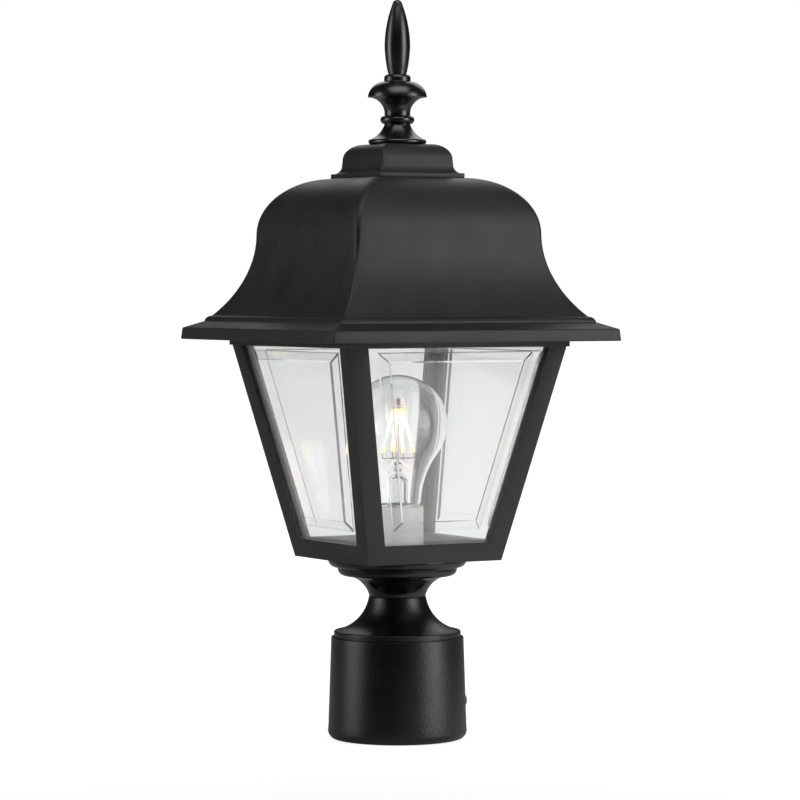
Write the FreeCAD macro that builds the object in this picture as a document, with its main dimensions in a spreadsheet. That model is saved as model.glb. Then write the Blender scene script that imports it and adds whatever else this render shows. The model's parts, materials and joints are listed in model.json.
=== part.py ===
import FreeCAD, Part
import Sketcher
import os
import re

# Post top lantern: a square, tapered lantern on a turned neck, with a fitter sleeve that
# slips over a round lamp post. Lengths are in millimetres and angles in degrees. +Z is up,
# the origin is on the post's axis at the open mouth of the sleeve, and the four lantern
# faces look along -Y (front), +X (right), +Y (back) and -X (left).

# Every driving size, grouped by the piece that it belongs to.
SIZES = {
    "Lamp post that the sleeve fits": {
        "postRadius": 38.1,  # 3 in round post
        "postClearance": 0.45,  # radial gap between post and bore
        "postDepth": 54.0,  # how far the post enters
    },
    "Fitter sleeve": {
        "sleeveWeb": 4.0,  # ring that rests on the post's end
        "sleeveFootWall": 0.85,  # wall at the mouth, inside the rounded edge
        "sleeveLipWall": 3.85,  # wall at the widest point of the lip
        "sleeveLipHeight": 4.6,
        "sleeveLipRound": 5.5,
        "sleeveSkirtWall": 3.55,  # wall where the taper starts
        "sleeveSkirtHeight": 8.0,
        "sleeveRimWall": 1.8,  # wall at the top of the taper
        "sleeveRimLip": 1.4,  # wall round the neck's flange
        "sleeveRimDepth": 3.8,
        "cupRadius": 13.0,  # raised cup that holds the lower nut clear of the post
        "cupWall": 3.0,
        "cupHeight": 12.0,
    },
    "Set screws": {
        "setScrewRadius": 2.4,
        "setScrewClearance": 0.06,
        "setScrewHeight": 20.0,  # above the mouth
        "setScrewLength": 6.0,  # under the head
        "setScrewInset": 0.15,  # tip back from the bore's wall
        "setScrewHeadRadius": 4.0,
        "setScrewHead": 2.6,
        "setScrewSlot": 1.0,
        "setScrewSlotDepth": 1.2,
    },
    "Fitter neck": {
        "neckGap": 0.3,  # round the flange, inside the sleeve's rim
        "neckHeight": 28.4,
        "neckFlangeHeight": 6.6,
        "neckEdgeRound": 1.0,
        "neckWaistRadius": 17.4,
        "neckSweep": 24.8,  # radius of the hollow side
        "neckWall": 3.2,
        "neckCupGap": 0.8,  # round and over the sleeve's cup
    },
    "Base collar": {
        "collarHeight": 23.1,
        "collarWaistRadius": 17.1,
        "collarSweep": 17.0,
        "collarSoffitRadius": 27.0,  # where the hollow side meets the lower tier
        "collarSoffitHeight": 11.6,
        "collarTierFoot": 31.5,
        "collarTierFootHeight": 12.9,
        "collarTierRadius": 36.4,
        "collarTierRound": 4.0,
        "collarTierHeight": 16.6,
        "collarDiscHeight": 18.0,
        "collarDiscFoot": 38.2,
        "collarDiscRadius": 42.2,
        "collarDiscRound": 4.5,
        "collarDiscEdge": 1.5,
        "collarCavityRadius": 33.0,
    },
    "Nipple, its nuts and washers": {
        "nippleRadius": 5.15,
        "nippleBore": 3.4,
        "nippleClearance": 0.35,
        "nippleTail": 3.0,  # below the lower nut
        "nippleEntry": 2.5,  # into the socket's floor
        "nippleNutFlats": 14.3,
        "nippleNutThick": 4.3,
        "nippleWasherRadius": 9.0,
        "nippleWasherThick": 1.2,
        "threadGap": 0.05,  # between a thread and its nut
    },
    "Lantern frame": {
        "frameBottomHalf": 46.1,
        "frameTopHalf": 74.43,
        "frameHeight": 129.5,
        "frameWall": 7.2,
        "frameFloor": 3.0,
        "stileWidth": 12.4,  # across each face, from the corner edge
        "stileLip": 2.5,  # in front of the pane
        "slotEdge": 7.5,  # from the corner edge to the pane's slot
        "slotFloor": 6.0,
        "railHeight": 11.5,
        "wellRadius": 9.6,
        "wellWall": 2.7,
        "wellFloor": 3.0,
        "wellDepth": 6.5,
    },
    "Clear panels": {
        "paneThick": 2.5,
        "paneGap": 0.15,
        "paneEdgeGap": 0.3,
        "paneTopGap": 0.2,
        "bevelInset": 20.5,  # from the frame's corner edge
        "bevelLow": 19.5,  # above the frame's bottom
        "bevelTop": 3.0,  # below the frame's top
        "bevelWidth": 5.8,
        "bevelRaise": 2.5,
    },
    "Top ring": {
        "ringProud": 1.37,  # beyond the stiles
        "ringHeight": 11.5,
        "ringFlange": 3.0,
        "ringFlangeWidth": 9.0,
        "ringWall": 3.0,
    },
    "Ring screws and crossbar screws": {
        "screwRadius": 1.2,
        "screwPilotGap": 0.05,
        "screwHoleGap": 0.4,
        "screwHeadRadius": 2.6,
        "screwHead": 1.8,
        "screwBite": 8.0,  # into the stile
        "screwInset": 5.0,  # from both faces of the stile
    },
    "Crossbar": {
        "barWidth": 12.0,  # leaves room for the bulb's globe to pass beside it
        "barThick": 2.5,
        "barEndGap": 0.3,
        "barScrewInset": 3.2,  # from the bar's end
        "barScrewTip": 0.3,  # above the ring's underside
    },
    "Tie rod and its lock nut": {
        "rodRadius": 3.1,
        "rodClearance": 0.5,
        "rodTail": 0.3,  # below the crossbar, which is tapped for the rod
        "rodReach": 16.0,  # into the finial
        "rodNutFlats": 11.1,
        "rodNutThick": 4.0,
    },
    "Roof": {
        "roofWall": 3.0,
        "roofLipWall": 1.5,  # measured across, behind the lip
        "roofGap": 0.3,  # round the top ring
        "brimDrop": 8.1,  # brim's lowest edge below the seat on the ring
        "brimHalf": 98.3,
        "fasciaHeight": 7.1,
        "fasciaDraft": 0.7,
        "lipHalf": 87.5,
        "lipHeight": 11.2,
        "lipRound": 3.8,
        "flareHalf": 84.0,
        "flareHeight": 14.6,
        "flareSweep": 70.0,
        "waistHalf": 64.2,  # where the flare turns into the crown
        "waistHeight": 64.2,
        "crownRound": 33.8,
        "ledgeWidth": 3.0,  # bearing on the top ring
        "ribThick": 2.5,
        "ribDrop": 4.0,
        "ribRoot": 1.5,  # sunk into the roof above
    },
    "Roof cap": {
        "capPlateInset": 0.4,  # inside the crown's flat top
        "capPlateThick": 2.9,
        "capFootInset": 2.1,
        "capFootRound": 5.6,
        "capWallInset": 5.0,
        "capFootHeight": 7.6,
        "capShoulderHeight": 11.6,
        "capHeight": 20.6,
        "capShoulderRound": 9.4,
        "capDraft": 0.3,
        "capWall": 2.5,
    },
    "Finial": {
        "finialFlangeRadius": 17.6,
        "finialFlangeRound": 1.6,
        "finialWaistRadius": 7.8,
        "finialWaistHeight": 12.4,
        "finialFlareSweep": 14.9,
        "finialBeadRound": 2.5,
        "finialNeckHeight": 2.1,
        "finialUnderSweep": 10.4,
        "finialBellRadius": 18.0,
        "finialBellHeight": 28.7,
        "finialBellRound": 10.7,
        "finialBellTopRadius": 9.0,
        "finialBellTopHeight": 38.0,
        "finialRingRadius": 8.05,
        "finialRingEdge": 2.2,
        "finialRingRound": 2.2,
        "spearFootRadius": 5.5,
        "spearRadius": 7.79,
        "spearWaistHeight": 59.9,
        "spearLowerSweep": 80.0,
        "spearUpperSweep": 74.0,
        "spearTipRadius": 3.0,
        "spearTipHeight": 85.0,
        "spearTipRise": 2.6,  # from the tip's edge to the top of its dome
        "finialWasherRadius": 12.0,
        "finialWasherThick": 1.25,
        "finialWasherGap": 0.1,
        "rodHoleRelief": 1.0,  # hole beyond the rod's end
    },
    "Lamp socket": {
        "socketRadius": 15.4,
        "socketHeight": 29.0,
        "socketFloor": 3.0,
        "socketWall": 1.3,
        "discThick": 0.8,
        "discGap": 0.2,
        "shellGap": 0.25,
        "shellWall": 0.4,
        "shellFlange": 5.0,
        "shellDrop": 1.5,  # below the socket's rim
        "tabRadius": 4.0,
        "tabEdge": 0.6,
        "tabTopRadius": 2.4,
        "tabHeight": 2.1,
    },
    "Bulb": {
        "bulbGap": 0.1,  # between the two centre contacts
        "bulbContactFoot": 3.6,
        "bulbContactRadius": 4.8,
        "bulbContactHeight": 1.4,
        "bulbInsulatorFoot": 5.2,
        "bulbInsulatorRadius": 12.2,
        "bulbInsulatorTop": 5.0,
        "bulbCapRadius": 13.15,
        "bulbCapWall": 0.4,
        "bulbCapLip": 11.5,
        "bulbCapTop": 24.0,
        "glassWall": 0.8,
        "glassFootRadius": 12.65,
        "glassFootHeight": 20.0,
        "glassNeckRadius": 13.9,
        "glassNeckHeight": 25.6,
        "glassSweep": 52.0,
        "glassShoulderRadius": 24.6,
        "globeRadius": 30.0,
        "globeHeight": 73.0,
        "stemFlareRadius": 11.0,
        "stemFlareTop": 24.0,
        "stemRadius": 5.5,
        "stemStraight": 31.0,
        "stemShoulder": 38.5,
        "stemDomeRound": 4.6,
        "stemNeckRadius": 1.6,
        "stemNeckHeight": 42.6,
        "stemNeckTop": 44.5,
        "stemBeadRadius": 3.4,
        "stemBeadHeight": 47.0,
        "stemTop": 50.0,
        "wireRadius": 0.4,
        "wirePostRadius": 0.3,
        "wirePostInset": 0.6,  # from the arm's end
        "wirePostGap": 0.45,  # under a filament's foot
        "wireHub": 1.4,
        "wireHubRise": 0.8,  # above the arms
        "wireLevel": 52.5,
        "filamentCount": 4,
        "filamentAngle": -12.0,
        "filamentRadius": 0.9,
        "filamentFootReach": 10.3,
        "filamentFoot": 54.5,
        "filamentTopReach": 2.2,
        "filamentTop": 83.5,
        "filamentCapRadius": 3.4,
        "filamentCapThick": 0.5,
        "wireTip": 89.0,
    },
    "Making allowances": {
        "overshoot": 1.0,  # how far a cut runs past the face that it opens
        "quarterTurn": 90.0,
    },
}

# Heights along the axis, each counted from the piece below.
LEVEL = {}
LEVEL["webTop"] = "(postDepth + sleeveWeb)"
LEVEL["cupTop"] = "(" + LEVEL["webTop"] + " + cupHeight)"
LEVEL["lowerWasher"] = "(" + LEVEL["cupTop"] + " - cupWall - nippleWasherThick)"
LEVEL["lowerNut"] = "(" + LEVEL["lowerWasher"] + " - nippleNutThick)"
LEVEL["nippleFoot"] = "(" + LEVEL["lowerNut"] + " - nippleTail)"
LEVEL["collar"] = "(" + LEVEL["webTop"] + " + neckHeight)"
LEVEL["frame"] = "(" + LEVEL["collar"] + " + collarHeight)"
LEVEL["upperWasher"] = "(" + LEVEL["frame"] + " - wellDepth + wellFloor)"
LEVEL["upperNut"] = "(" + LEVEL["upperWasher"] + " + nippleWasherThick)"
LEVEL["socket"] = "(" + LEVEL["frame"] + " + frameFloor)"
LEVEL["disc"] = "(" + LEVEL["socket"] + " + socketFloor)"
LEVEL["tab"] = "(" + LEVEL["disc"] + " + discThick)"
LEVEL["bulb"] = "(" + LEVEL["tab"] + " + tabHeight + bulbGap)"
LEVEL["ring"] = "(" + LEVEL["frame"] + " + frameHeight)"
LEVEL["bar"] = "(" + LEVEL["ring"] + " + ringFlange)"
LEVEL["barTop"] = "(" + LEVEL["bar"] + " + barThick)"
LEVEL["rodFoot"] = "(" + LEVEL["bar"] + " - rodTail)"
LEVEL["roof"] = "(" + LEVEL["ring"] + " + ringHeight - brimDrop)"
LEVEL["cap"] = "(" + LEVEL["roof"] + " + waistHeight + crownRound)"
LEVEL["finial"] = "(" + LEVEL["cap"] + " + capHeight)"

# Radii and half widths that two or more pieces share.
BORE = "(postRadius + postClearance)"
SLEEVE_RIM = "(" + BORE + " + sleeveRimWall)"
NECK_FLANGE = "(" + SLEEVE_RIM + " - sleeveRimLip - neckGap)"
CUP_OUTSIDE = "(cupRadius + cupWall)"
NIPPLE_HOLE = "(nippleRadius + nippleClearance)"
ROD_HOLE = "(rodRadius + rodClearance)"
RING_HALF = "(frameTopHalf + ringProud)"
RING_INSIDE = "(" + RING_HALF + " - ringWall)"
CROWN_FLAT = "(waistHalf - crownRound)"
CAP_PLATE = "(" + CROWN_FLAT + " - capPlateInset)"
CAP_SIDE = "(" + CAP_PLATE + " - capWallInset)"
SOCKET_BORE = "(socketRadius - socketWall)"
SHELL_OUTSIDE = "(" + SOCKET_BORE + " - shellGap)"
SLOPE = "((frameTopHalf - frameBottomHalf) / frameHeight)"
LEAN = "sqrt(1 + (" + SLOPE + ") ^ 2)"
SPAN = "(2 * (brimHalf + frameTopHalf))"  # longer than any piece is wide

FACE_NAMES = ("front", "right", "back", "left")

# Quarter turns from +X of the side that each set screw enters from.
SET_SCREWS = {"x": 0, "y": 1}

doc = FreeCAD.newDocument("PostTopLantern")
sheet = doc.addObject("Spreadsheet::Sheet", "Sizes")
probe = doc.addObject("App::FeaturePython", "Probe")
probe.addProperty("App::PropertyFloat", "Reading")
sizeNames = []
nodes = []


def fillSheet():
    row = 1
    for piece, sizes in SIZES.items():
        sheet.set("A%d" % row, piece)
        row += 1
        for name, value in sizes.items():
            sheet.set("A%d" % row, name)
            sheet.set("B%d" % row, str(value))
            sheet.setAlias("B%d" % row, name)
            sizeNames.append(name)
            row += 1
    doc.recompute()


def sized(text):
    # The same expression with each size read from the sheet.
    return re.sub(r"[A-Za-z]\w*", lambda word: qualified(word.group(0)), str(text))


def qualified(word):
    if word in sizeNames:
        return "Sizes." + word
    return word


def valueOf(text):
    # The number that an expression comes to, read through the probe.
    probe.setExpression("Reading", sized(text))
    probe.recompute()
    return probe.Reading


def bind(item, **expressions):
    for path, text in expressions.items():
        item.setExpression(path.replace("_", "."), sized(text))


def seat(item, level):
    # Sets a finished piece at its height on the axis.
    bind(item, Placement_Base_z=level)
    return item


def node(item, name):
    item.Label = name
    nodes.append(item)
    return item


def frameHalf(height, inset="0"):
    # Half width of the tapered frame at a height, less a depth measured square to the face.
    return "(frameBottomHalf + %s * (%s) - (%s) * %s)" % (SLOPE, height, inset, LEAN)


# Outlines. A corner is (across, up), or (across, up, "out" or "in", radius) where an arc
# leads on to the next corner. Outlines run counter-clockwise, so an "out" arc bulges away
# from the material and an "in" arc is hollow.

def addEdge(sketch, start, finish, side, radius):
    # Adds one edge and returns its number and which of its ends is the start.
    if side is None:
        line = Part.LineSegment(FreeCAD.Vector(*start, 0), FreeCAD.Vector(*finish, 0))
        return sketch.addGeometry(line, False), 1, 2
    begin = FreeCAD.Vector(*start, 0)
    end = FreeCAD.Vector(*finish, 0)
    chord = end - begin
    leftward = FreeCAD.Vector(-chord.y, chord.x, 0).normalize()
    rise = (max(radius ** 2 - (chord.Length / 2) ** 2, 0)) ** 0.5
    if side == "in":
        leftward = leftward * -1
        begin, end = end, begin
    centre = (begin + end) / 2 + leftward * rise
    circle = Part.Circle(centre, FreeCAD.Vector(0, 0, 1), radius)
    arc = Part.ArcOfCircle(circle, angleOf(begin - centre), angleOf(end - centre))
    number = sketch.addGeometry(arc, False)
    if side == "in":
        return number, 2, 1
    return number, 1, 2


def angleOf(arm):
    east = FreeCAD.Vector(1, 0, 0)
    turn = arm.getAngle(east)
    return turn if arm.y >= 0 else -turn


def constrain(sketch, kind, *where, bound=None):
    if bound is None:
        return sketch.addConstraint(Sketcher.Constraint(kind, *where))
    number = sketch.addConstraint(Sketcher.Constraint(kind, *where, valueOf(bound)))
    sketch.setExpression("Constraints[%d]" % number, sized(bound))
    return number


def placeCorner(sketch, edge, end, across, up):
    if across == "0":
        constrain(sketch, "PointOnObject", edge, end, -2)
    else:
        constrain(sketch, "DistanceX", -1, 1, edge, end, bound=across)
    if up == "0":
        constrain(sketch, "PointOnObject", edge, end, -1)
    else:
        constrain(sketch, "DistanceY", -1, 1, edge, end, bound=up)


def drawLoop(sketch, corners, spots):
    # Closed chain of edges through the spots, joined end to end.
    edges = []
    count = len(spots)
    for index in range(count):
        corner = corners[index]
        side = corner[2] if len(corner) > 2 else None
        radius = valueOf(corner[3]) if side else 0
        edges.append(addEdge(sketch, spots[index], spots[(index + 1) % count], side, radius))
    for index in range(count):
        number, first, last = edges[index]
        follower, followerFirst, followerLast = edges[(index + 1) % count]
        constrain(sketch, "Coincident", number, last, follower, followerFirst)
        if len(corners[index]) > 2:
            constrain(sketch, "Radius", number, bound=corners[index][3])
    return edges


def drawOutline(sketch, corners):
    spots = [(valueOf(corner[0]), valueOf(corner[1])) for corner in corners]
    edges = drawLoop(sketch, corners, spots)
    for corner, edge in zip(corners, edges):
        placeCorner(sketch, edge[0], edge[1], corner[0], corner[1])


def drawSymmetric(sketch, corners):
    # The corners are the right-hand side, from the bottom up. The left-hand side mirrors it.
    right = [(valueOf(corner[0]), valueOf(corner[1])) for corner in corners]
    left = [(-across, up) for across, up in reversed(right)]
    count = len(right)
    upward = [corner if index < count - 1 else corner[:2] for index, corner in enumerate(corners)]
    downward = []
    for index in range(count - 1, -1, -1):
        below = corners[index - 1] if index else corners[index][:2]
        downward.append(corners[index][:2] + below[2:])
    edges = drawLoop(sketch, upward + downward, right + left)
    for index in range(count):
        number, first, last = edges[index]
        mirrored, mirroredFirst, mirroredLast = edges[2 * count - 1 - index]
        placeCorner(sketch, number, first, corners[index][0], corners[index][1])
        constrain(sketch, "Symmetric", number, first, mirrored, mirroredFirst, -2)


# Solids.

def turned(name, corners):
    # A body turned about the upright axis from half its section.
    body = doc.addObject("PartDesign::Body", name)
    sketch = body.newObject("Sketcher::SketchObject", name + "Section")
    plane = [item for item in body.Origin.OriginFeatures if item.Role == "XZ_Plane"][0]
    sketch.AttachmentSupport = [(plane, "")]
    sketch.MapMode = "FlatFace"
    drawOutline(sketch, corners)
    turn = body.newObject("PartDesign::Revolution", name + "Turned")
    turn.Profile = sketch
    turn.ReferenceAxis = (sketch, ["V_Axis"])
    turn.Angle = 360
    body.Tip = turn
    return body


def extruded(name, corners, length, towards="front", symmetric=True):
    # A prism with an upright section: across is X and the length runs along Y when it looks
    # to the front, and across is -Y or +Y and the length runs along X when it is turned.
    sketch = doc.addObject("Sketcher::SketchObject", name + "Section")
    if symmetric:
        drawSymmetric(sketch, corners)
    else:
        drawOutline(sketch, corners)
    turns = {"front": 0, "right": 1, "left": -1}[towards]
    facing = "rotation(vector(0; 0; 1); %d * quarterTurn) * rotation(vector(1; 0; 0); quarterTurn)"
    bind(sketch, Placement="placement(vector(0; 0; 0); %s)" % (facing % turns))
    prism = doc.addObject("Part::Extrusion", name)
    prism.Base = sketch
    prism.DirMode = "Normal"
    prism.Solid = True
    prism.Symmetric = True
    bind(prism, LengthFwd=length)
    return prism


def common(name, *items):
    shared = doc.addObject("Part::MultiCommon", name)
    shared.Shapes = list(items)
    return shared


def fused(name, *items):
    joined = doc.addObject("Part::MultiFuse", name)
    joined.Shapes = list(items)
    joined.Refine = True
    return joined


def cut(name, base, *tools):
    tool = tools[0]
    if len(tools) > 1:
        tool = fused(name + "Cuts", *tools)
    left = doc.addObject("Part::Cut", name)
    left.Base = base
    left.Tool = tool
    return left


def group(name, *items):
    gathered = doc.addObject("Part::Compound", name)
    gathered.Links = list(items)
    return gathered


def makeWedge():
    # The upright quarter that looks to +X, wide enough for every square piece.
    sketch = doc.addObject("Sketcher::SketchObject", "wedgeOutline")
    drawOutline(sketch, [("0", "0"), (SPAN, "-" + SPAN), (SPAN, SPAN)])
    wedge = doc.addObject("Part::Extrusion", "wedge")
    wedge.Base = sketch
    wedge.DirMode = "Normal"
    wedge.Solid = True
    wedge.Symmetric = True
    bind(wedge, LengthFwd=SPAN)


def mirrored(name, item, across, along):
    # The item's image in the upright plane through the axis with this normal.
    image = doc.addObject("Part::Mirroring", name)
    image.Source = item
    image.Normal = FreeCAD.Vector(across, along, 0)
    return image


def squared(name, corners):
    # A square solid with mitred corners: one side's quarter and its three images. The
    # corners are the section's outer edge, from the bottom up.
    section = [("0", corners[0][1])] + corners + [("0", corners[-1][1])]
    prism = extruded(name + "Prism", section, SPAN, symmetric=False)
    right = common(name + "Right", prism, doc.getObject("wedge"))
    back = mirrored(name + "Back", right, 1, -1)
    left = mirrored(name + "Left", right, 1, 0)
    front = mirrored(name + "Front", right, 1, 1)
    return fused(name, right, back, left, front)


def rod(name, radius, length, foot="0", across="0", along="0"):
    cylinder = doc.addObject("Part::Cylinder", name)
    bind(cylinder, Radius=radius, Height=length)
    bind(cylinder, Placement_Base_x=across, Placement_Base_y=along, Placement_Base_z=foot)
    return cylinder


def hexNut(name, flats, thick, hole, foot):
    prism = doc.addObject("Part::Prism", name + "Hexagon")
    prism.Polygon = 6
    bind(prism, Circumradius="(%s) / sqrt(3)" % flats, Height=thick)
    drilled = cut(name, prism, rod(name + "Hole", hole, thick))
    return seat(drilled, foot)


def ringPlate(name, radius, hole, thick, foot):
    plate = turned(name, [(hole, "0"), (radius, "0"), (radius, thick), (hole, thick)])
    return seat(plate, foot)


# Pieces, from the post upward.

def makeSleeve():
    top = "(" + LEVEL["webTop"] + " + sleeveRimDepth)"
    ceiling = "(" + LEVEL["cupTop"] + " - cupWall)"
    recess = "(" + SLEEVE_RIM + " - sleeveRimLip)"
    corners = [
        (BORE, "0"),
        (BORE + " + sleeveFootWall", "0", "out", "sleeveLipRound"),
        (BORE + " + sleeveLipWall", "sleeveLipHeight"),
        (BORE + " + sleeveSkirtWall", "sleeveSkirtHeight"),
        (SLEEVE_RIM, top),
        (recess, top),
        (recess, LEVEL["webTop"]),
        (CUP_OUTSIDE, LEVEL["webTop"]),
        (CUP_OUTSIDE, LEVEL["cupTop"]),
        (NIPPLE_HOLE, LEVEL["cupTop"]),
        (NIPPLE_HOLE, ceiling),
        ("cupRadius", ceiling),
        ("cupRadius", "postDepth"),
        (BORE, "postDepth"),
    ]
    blank = turned("sleeveBlank", corners)
    holes = [screwHole("sleeveHole" + side, turns) for side, turns in SET_SCREWS.items()]
    node(cut("fitter_sleeve", blank, *holes), "fitter_sleeve")


def radially(item, turns, reach):
    # Lays an upright piece on its side at the screws' height, pointing away from the axis.
    swing = "rotation(vector(0; 0; 1); %d * quarterTurn)" % turns
    spot = "%s * vector(%s; 0; setScrewHeight)" % (swing, reach)
    bind(item, Placement="placement(%s; %s * rotation(vector(0; 1; 0); quarterTurn))" % (spot, swing))
    return item


def screwHole(name, turns):
    hole = doc.addObject("Part::Cylinder", name)
    bind(hole, Radius="setScrewRadius + setScrewClearance", Height="sleeveLipWall + 2 * overshoot")
    return radially(hole, turns, BORE + " - overshoot")


def makeSetScrews():
    for side, turns in SET_SCREWS.items():
        name = "set_screw_" + side
        shank = rod(name + "Shank", "setScrewRadius", "setScrewLength")
        head = rod(name + "Head", "setScrewHeadRadius", "setScrewHead", "setScrewLength")
        slot = doc.addObject("Part::Box", name + "Slot")
        bind(slot, Length="2 * setScrewHeadRadius", Width="setScrewSlot", Height="setScrewSlotDepth")
        bind(slot, Placement_Base_x="-setScrewHeadRadius", Placement_Base_y="-setScrewSlot / 2")
        bind(slot, Placement_Base_z="setScrewLength + setScrewHead - setScrewSlotDepth")
        screw = cut(name, fused(name + "Blank", shank, head), slot)
        node(radially(screw, turns, BORE + " + setScrewInset"), name)


def makeNeck():
    cavity = "(" + CUP_OUTSIDE + " + neckCupGap)"
    corners = [
        (NECK_FLANGE + " - neckWall", "0"),
        (NECK_FLANGE, "0"),
        (NECK_FLANGE, "neckFlangeHeight", "out", "neckEdgeRound"),
        (NECK_FLANGE + " - neckEdgeRound", "neckFlangeHeight + neckEdgeRound", "in", "neckSweep"),
        ("neckWaistRadius", "neckHeight"),
        (NIPPLE_HOLE, "neckHeight"),
        (NIPPLE_HOLE, "neckHeight - neckWall"),
        ("neckWaistRadius - neckWall", "neckHeight - neckWall"),
        (cavity, "cupHeight + neckCupGap"),
        (NECK_FLANGE + " - neckWall", "neckFlangeHeight - neckWall"),
    ]
    node(seat(turned("fitter_neck", corners), LEVEL["webTop"]), "fitter_neck")


def makeCollar():
    floor = "(collarHeight - wellDepth)"
    corners = [
        (NIPPLE_HOLE, "0"),
        ("collarWaistRadius", "0", "in", "collarSweep"),
        ("collarSoffitRadius", "collarSoffitHeight"),
        ("collarTierFoot", "collarTierFootHeight", "out", "collarTierRound"),
        ("collarTierRadius", "collarTierHeight"),
        ("collarTierRadius", "collarDiscHeight"),
        ("collarDiscFoot", "collarDiscHeight", "out", "collarDiscRound"),
        ("collarDiscRadius", "collarHeight - collarDiscEdge"),
        ("collarDiscRadius", "collarHeight"),
        ("collarCavityRadius", "collarHeight"),
        ("collarCavityRadius", floor),
        (NIPPLE_HOLE, floor),
    ]
    node(seat(turned("base_collar", corners), LEVEL["collar"]), "base_collar")


def makeNipple():
    length = "(" + LEVEL["socket"] + " + nippleEntry - " + LEVEL["nippleFoot"] + ")"
    corners = [("nippleBore", "0"), ("nippleRadius", "0"), ("nippleRadius", length), ("nippleBore", length)]
    node(seat(turned("nipple", corners), LEVEL["nippleFoot"]), "nipple")
    thread = "nippleRadius + threadGap"
    nuts = []
    washers = []
    for place in ("lower", "upper"):
        foot = LEVEL[place + "Nut"]
        nuts.append(hexNut(place + "NippleNut", "nippleNutFlats", "nippleNutThick", thread, foot))
        washer = (place + "NippleWasher", "nippleWasherRadius", thread, "nippleWasherThick")
        washers.append(ringPlate(*washer, LEVEL[place + "Washer"]))
    node(group("nipple_nuts", *nuts), "nipple_nuts")
    node(group("nipple_washers", *washers), "nipple_washers")


def pyramid(name, inset, low, high):
    # The frame's tapered form, sunk by a depth from its faces, between two heights.
    corners = [(frameHalf(low, inset), low), (frameHalf(high, inset), high)]
    return squared(name, corners)


def paneSpace(name, face, outer, inner, side, low, high):
    # The leaning slab between two depths behind one face, as wide as the frame less a side inset.
    depths = [(inner, low), (outer, low), (outer, high), (inner, high)]
    section = [(frameHalf(up, depth), up) for depth, up in depths]
    slab = extruded(name + "Slab", section, SPAN, "left", symmetric=False)
    width = [(frameHalf(low) + " - (" + side + ")", low), (frameHalf(high) + " - (" + side + ")", high)]
    sides = extruded(name + "Sides", width, SPAN)
    return turnedTo(common(name, slab, sides), face)


def turnedTo(item, face, level="0"):
    # Turns a piece made for the front to one of the four faces.
    turns = FACE_NAMES.index(face)
    facing = "rotation(vector(0; 0; 1); %d * quarterTurn)" % turns
    bind(item, Placement="placement(vector(0; 0; %s); %s)" % (level, facing))
    return item


def makeFrame():
    openTop = "(frameHeight + overshoot)"
    outside = pyramid("frameOutside", "0", "0", "frameHeight")
    well = rod("frameWell", "wellRadius + wellWall", "wellDepth + overshoot", "-wellDepth")
    inside = pyramid("frameInside", "frameWall", "frameFloor", openTop)
    window = [(frameHalf(up) + " - stileWidth", up) for up in ("railHeight", openTop)]
    cuts = [inside]
    cuts.append(extruded("frameWindowsAlong", window, SPAN))
    cuts.append(extruded("frameWindowsAcross", window, SPAN, "right"))
    slotBack = "(stileLip + paneThick + 2 * paneGap)"
    for face in FACE_NAMES:
        slot = ("frameSlot" + face, face, "stileLip", slotBack, "slotEdge", "slotFloor", openTop)
        cuts.append(paneSpace(*slot))
    cuts.append(rod("frameWellBore", "wellRadius", "wellDepth + frameFloor", "wellFloor - wellDepth"))
    cuts.append(rod("frameNippleHole", NIPPLE_HOLE, "wellDepth + frameFloor", "-wellDepth - overshoot"))
    for index, (across, along) in enumerate(cornerSpots()):
        pilot = ("framePilot%d" % index, "screwRadius + screwPilotGap", "screwBite + 2 * overshoot")
        cuts.append(rod(*pilot, "frameHeight - screwBite - overshoot", across, along))
    frame = cut("lantern_frame", fused("frameBlank", outside, well), *cuts)
    node(seat(frame, LEVEL["frame"]), "lantern_frame")


def cornerSpots():
    reach = "(frameTopHalf - screwInset)"
    return [(signX + reach, signY + reach) for signX in ("", "-") for signY in ("", "-")]


def bevelQuad(name, depth, side, low, high):
    # Four-sided outline on a plane parallel to the front face.
    sketch = doc.addObject("Sketcher::SketchObject", name)
    corners = []
    for up in (low, high):
        corners.append(("(" + frameHalf(up) + " - (" + side + "))", "((" + up + ") * " + LEAN + ")"))
    drawSymmetric(sketch, corners)
    upright = "rotation(vector(1; 0; 0); quarterTurn)"
    leaning = "rotation(vector(1; 0; 0); atan(%s))" % SLOPE
    reach = "0 - " + frameHalf("0", depth)
    bind(sketch, Placement="placement(vector(0; %s; 0); %s * %s)" % (reach, upright, leaning))
    return sketch


def makePanels():
    outer = "(stileLip + paneGap)"
    rise = "(bevelWidth / " + LEAN + ")"
    high = "(frameHeight - bevelTop)"
    for face in FACE_NAMES:
        name = "panel_" + face
        plate = (outer, outer + " + paneThick", "slotEdge + paneEdgeGap", "slotFloor")
        sheetPane = paneSpace(name + "Plate", "front", *plate, "frameHeight - paneTopGap")
        foot = bevelQuad(name + "BevelFoot", outer, "bevelInset", "bevelLow", high)
        raised = ("bevelInset + bevelWidth", "bevelLow + " + rise, high + " - " + rise)
        loft = doc.addObject("Part::Loft", name + "Bevel")
        loft.Sections = [foot, bevelQuad(name + "BevelTop", outer + " - bevelRaise", *raised)]
        loft.Solid = True
        loft.Ruled = True
        pane = fused(name, sheetPane, loft)
        node(turnedTo(pane, face, LEVEL["frame"]), name)


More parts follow.
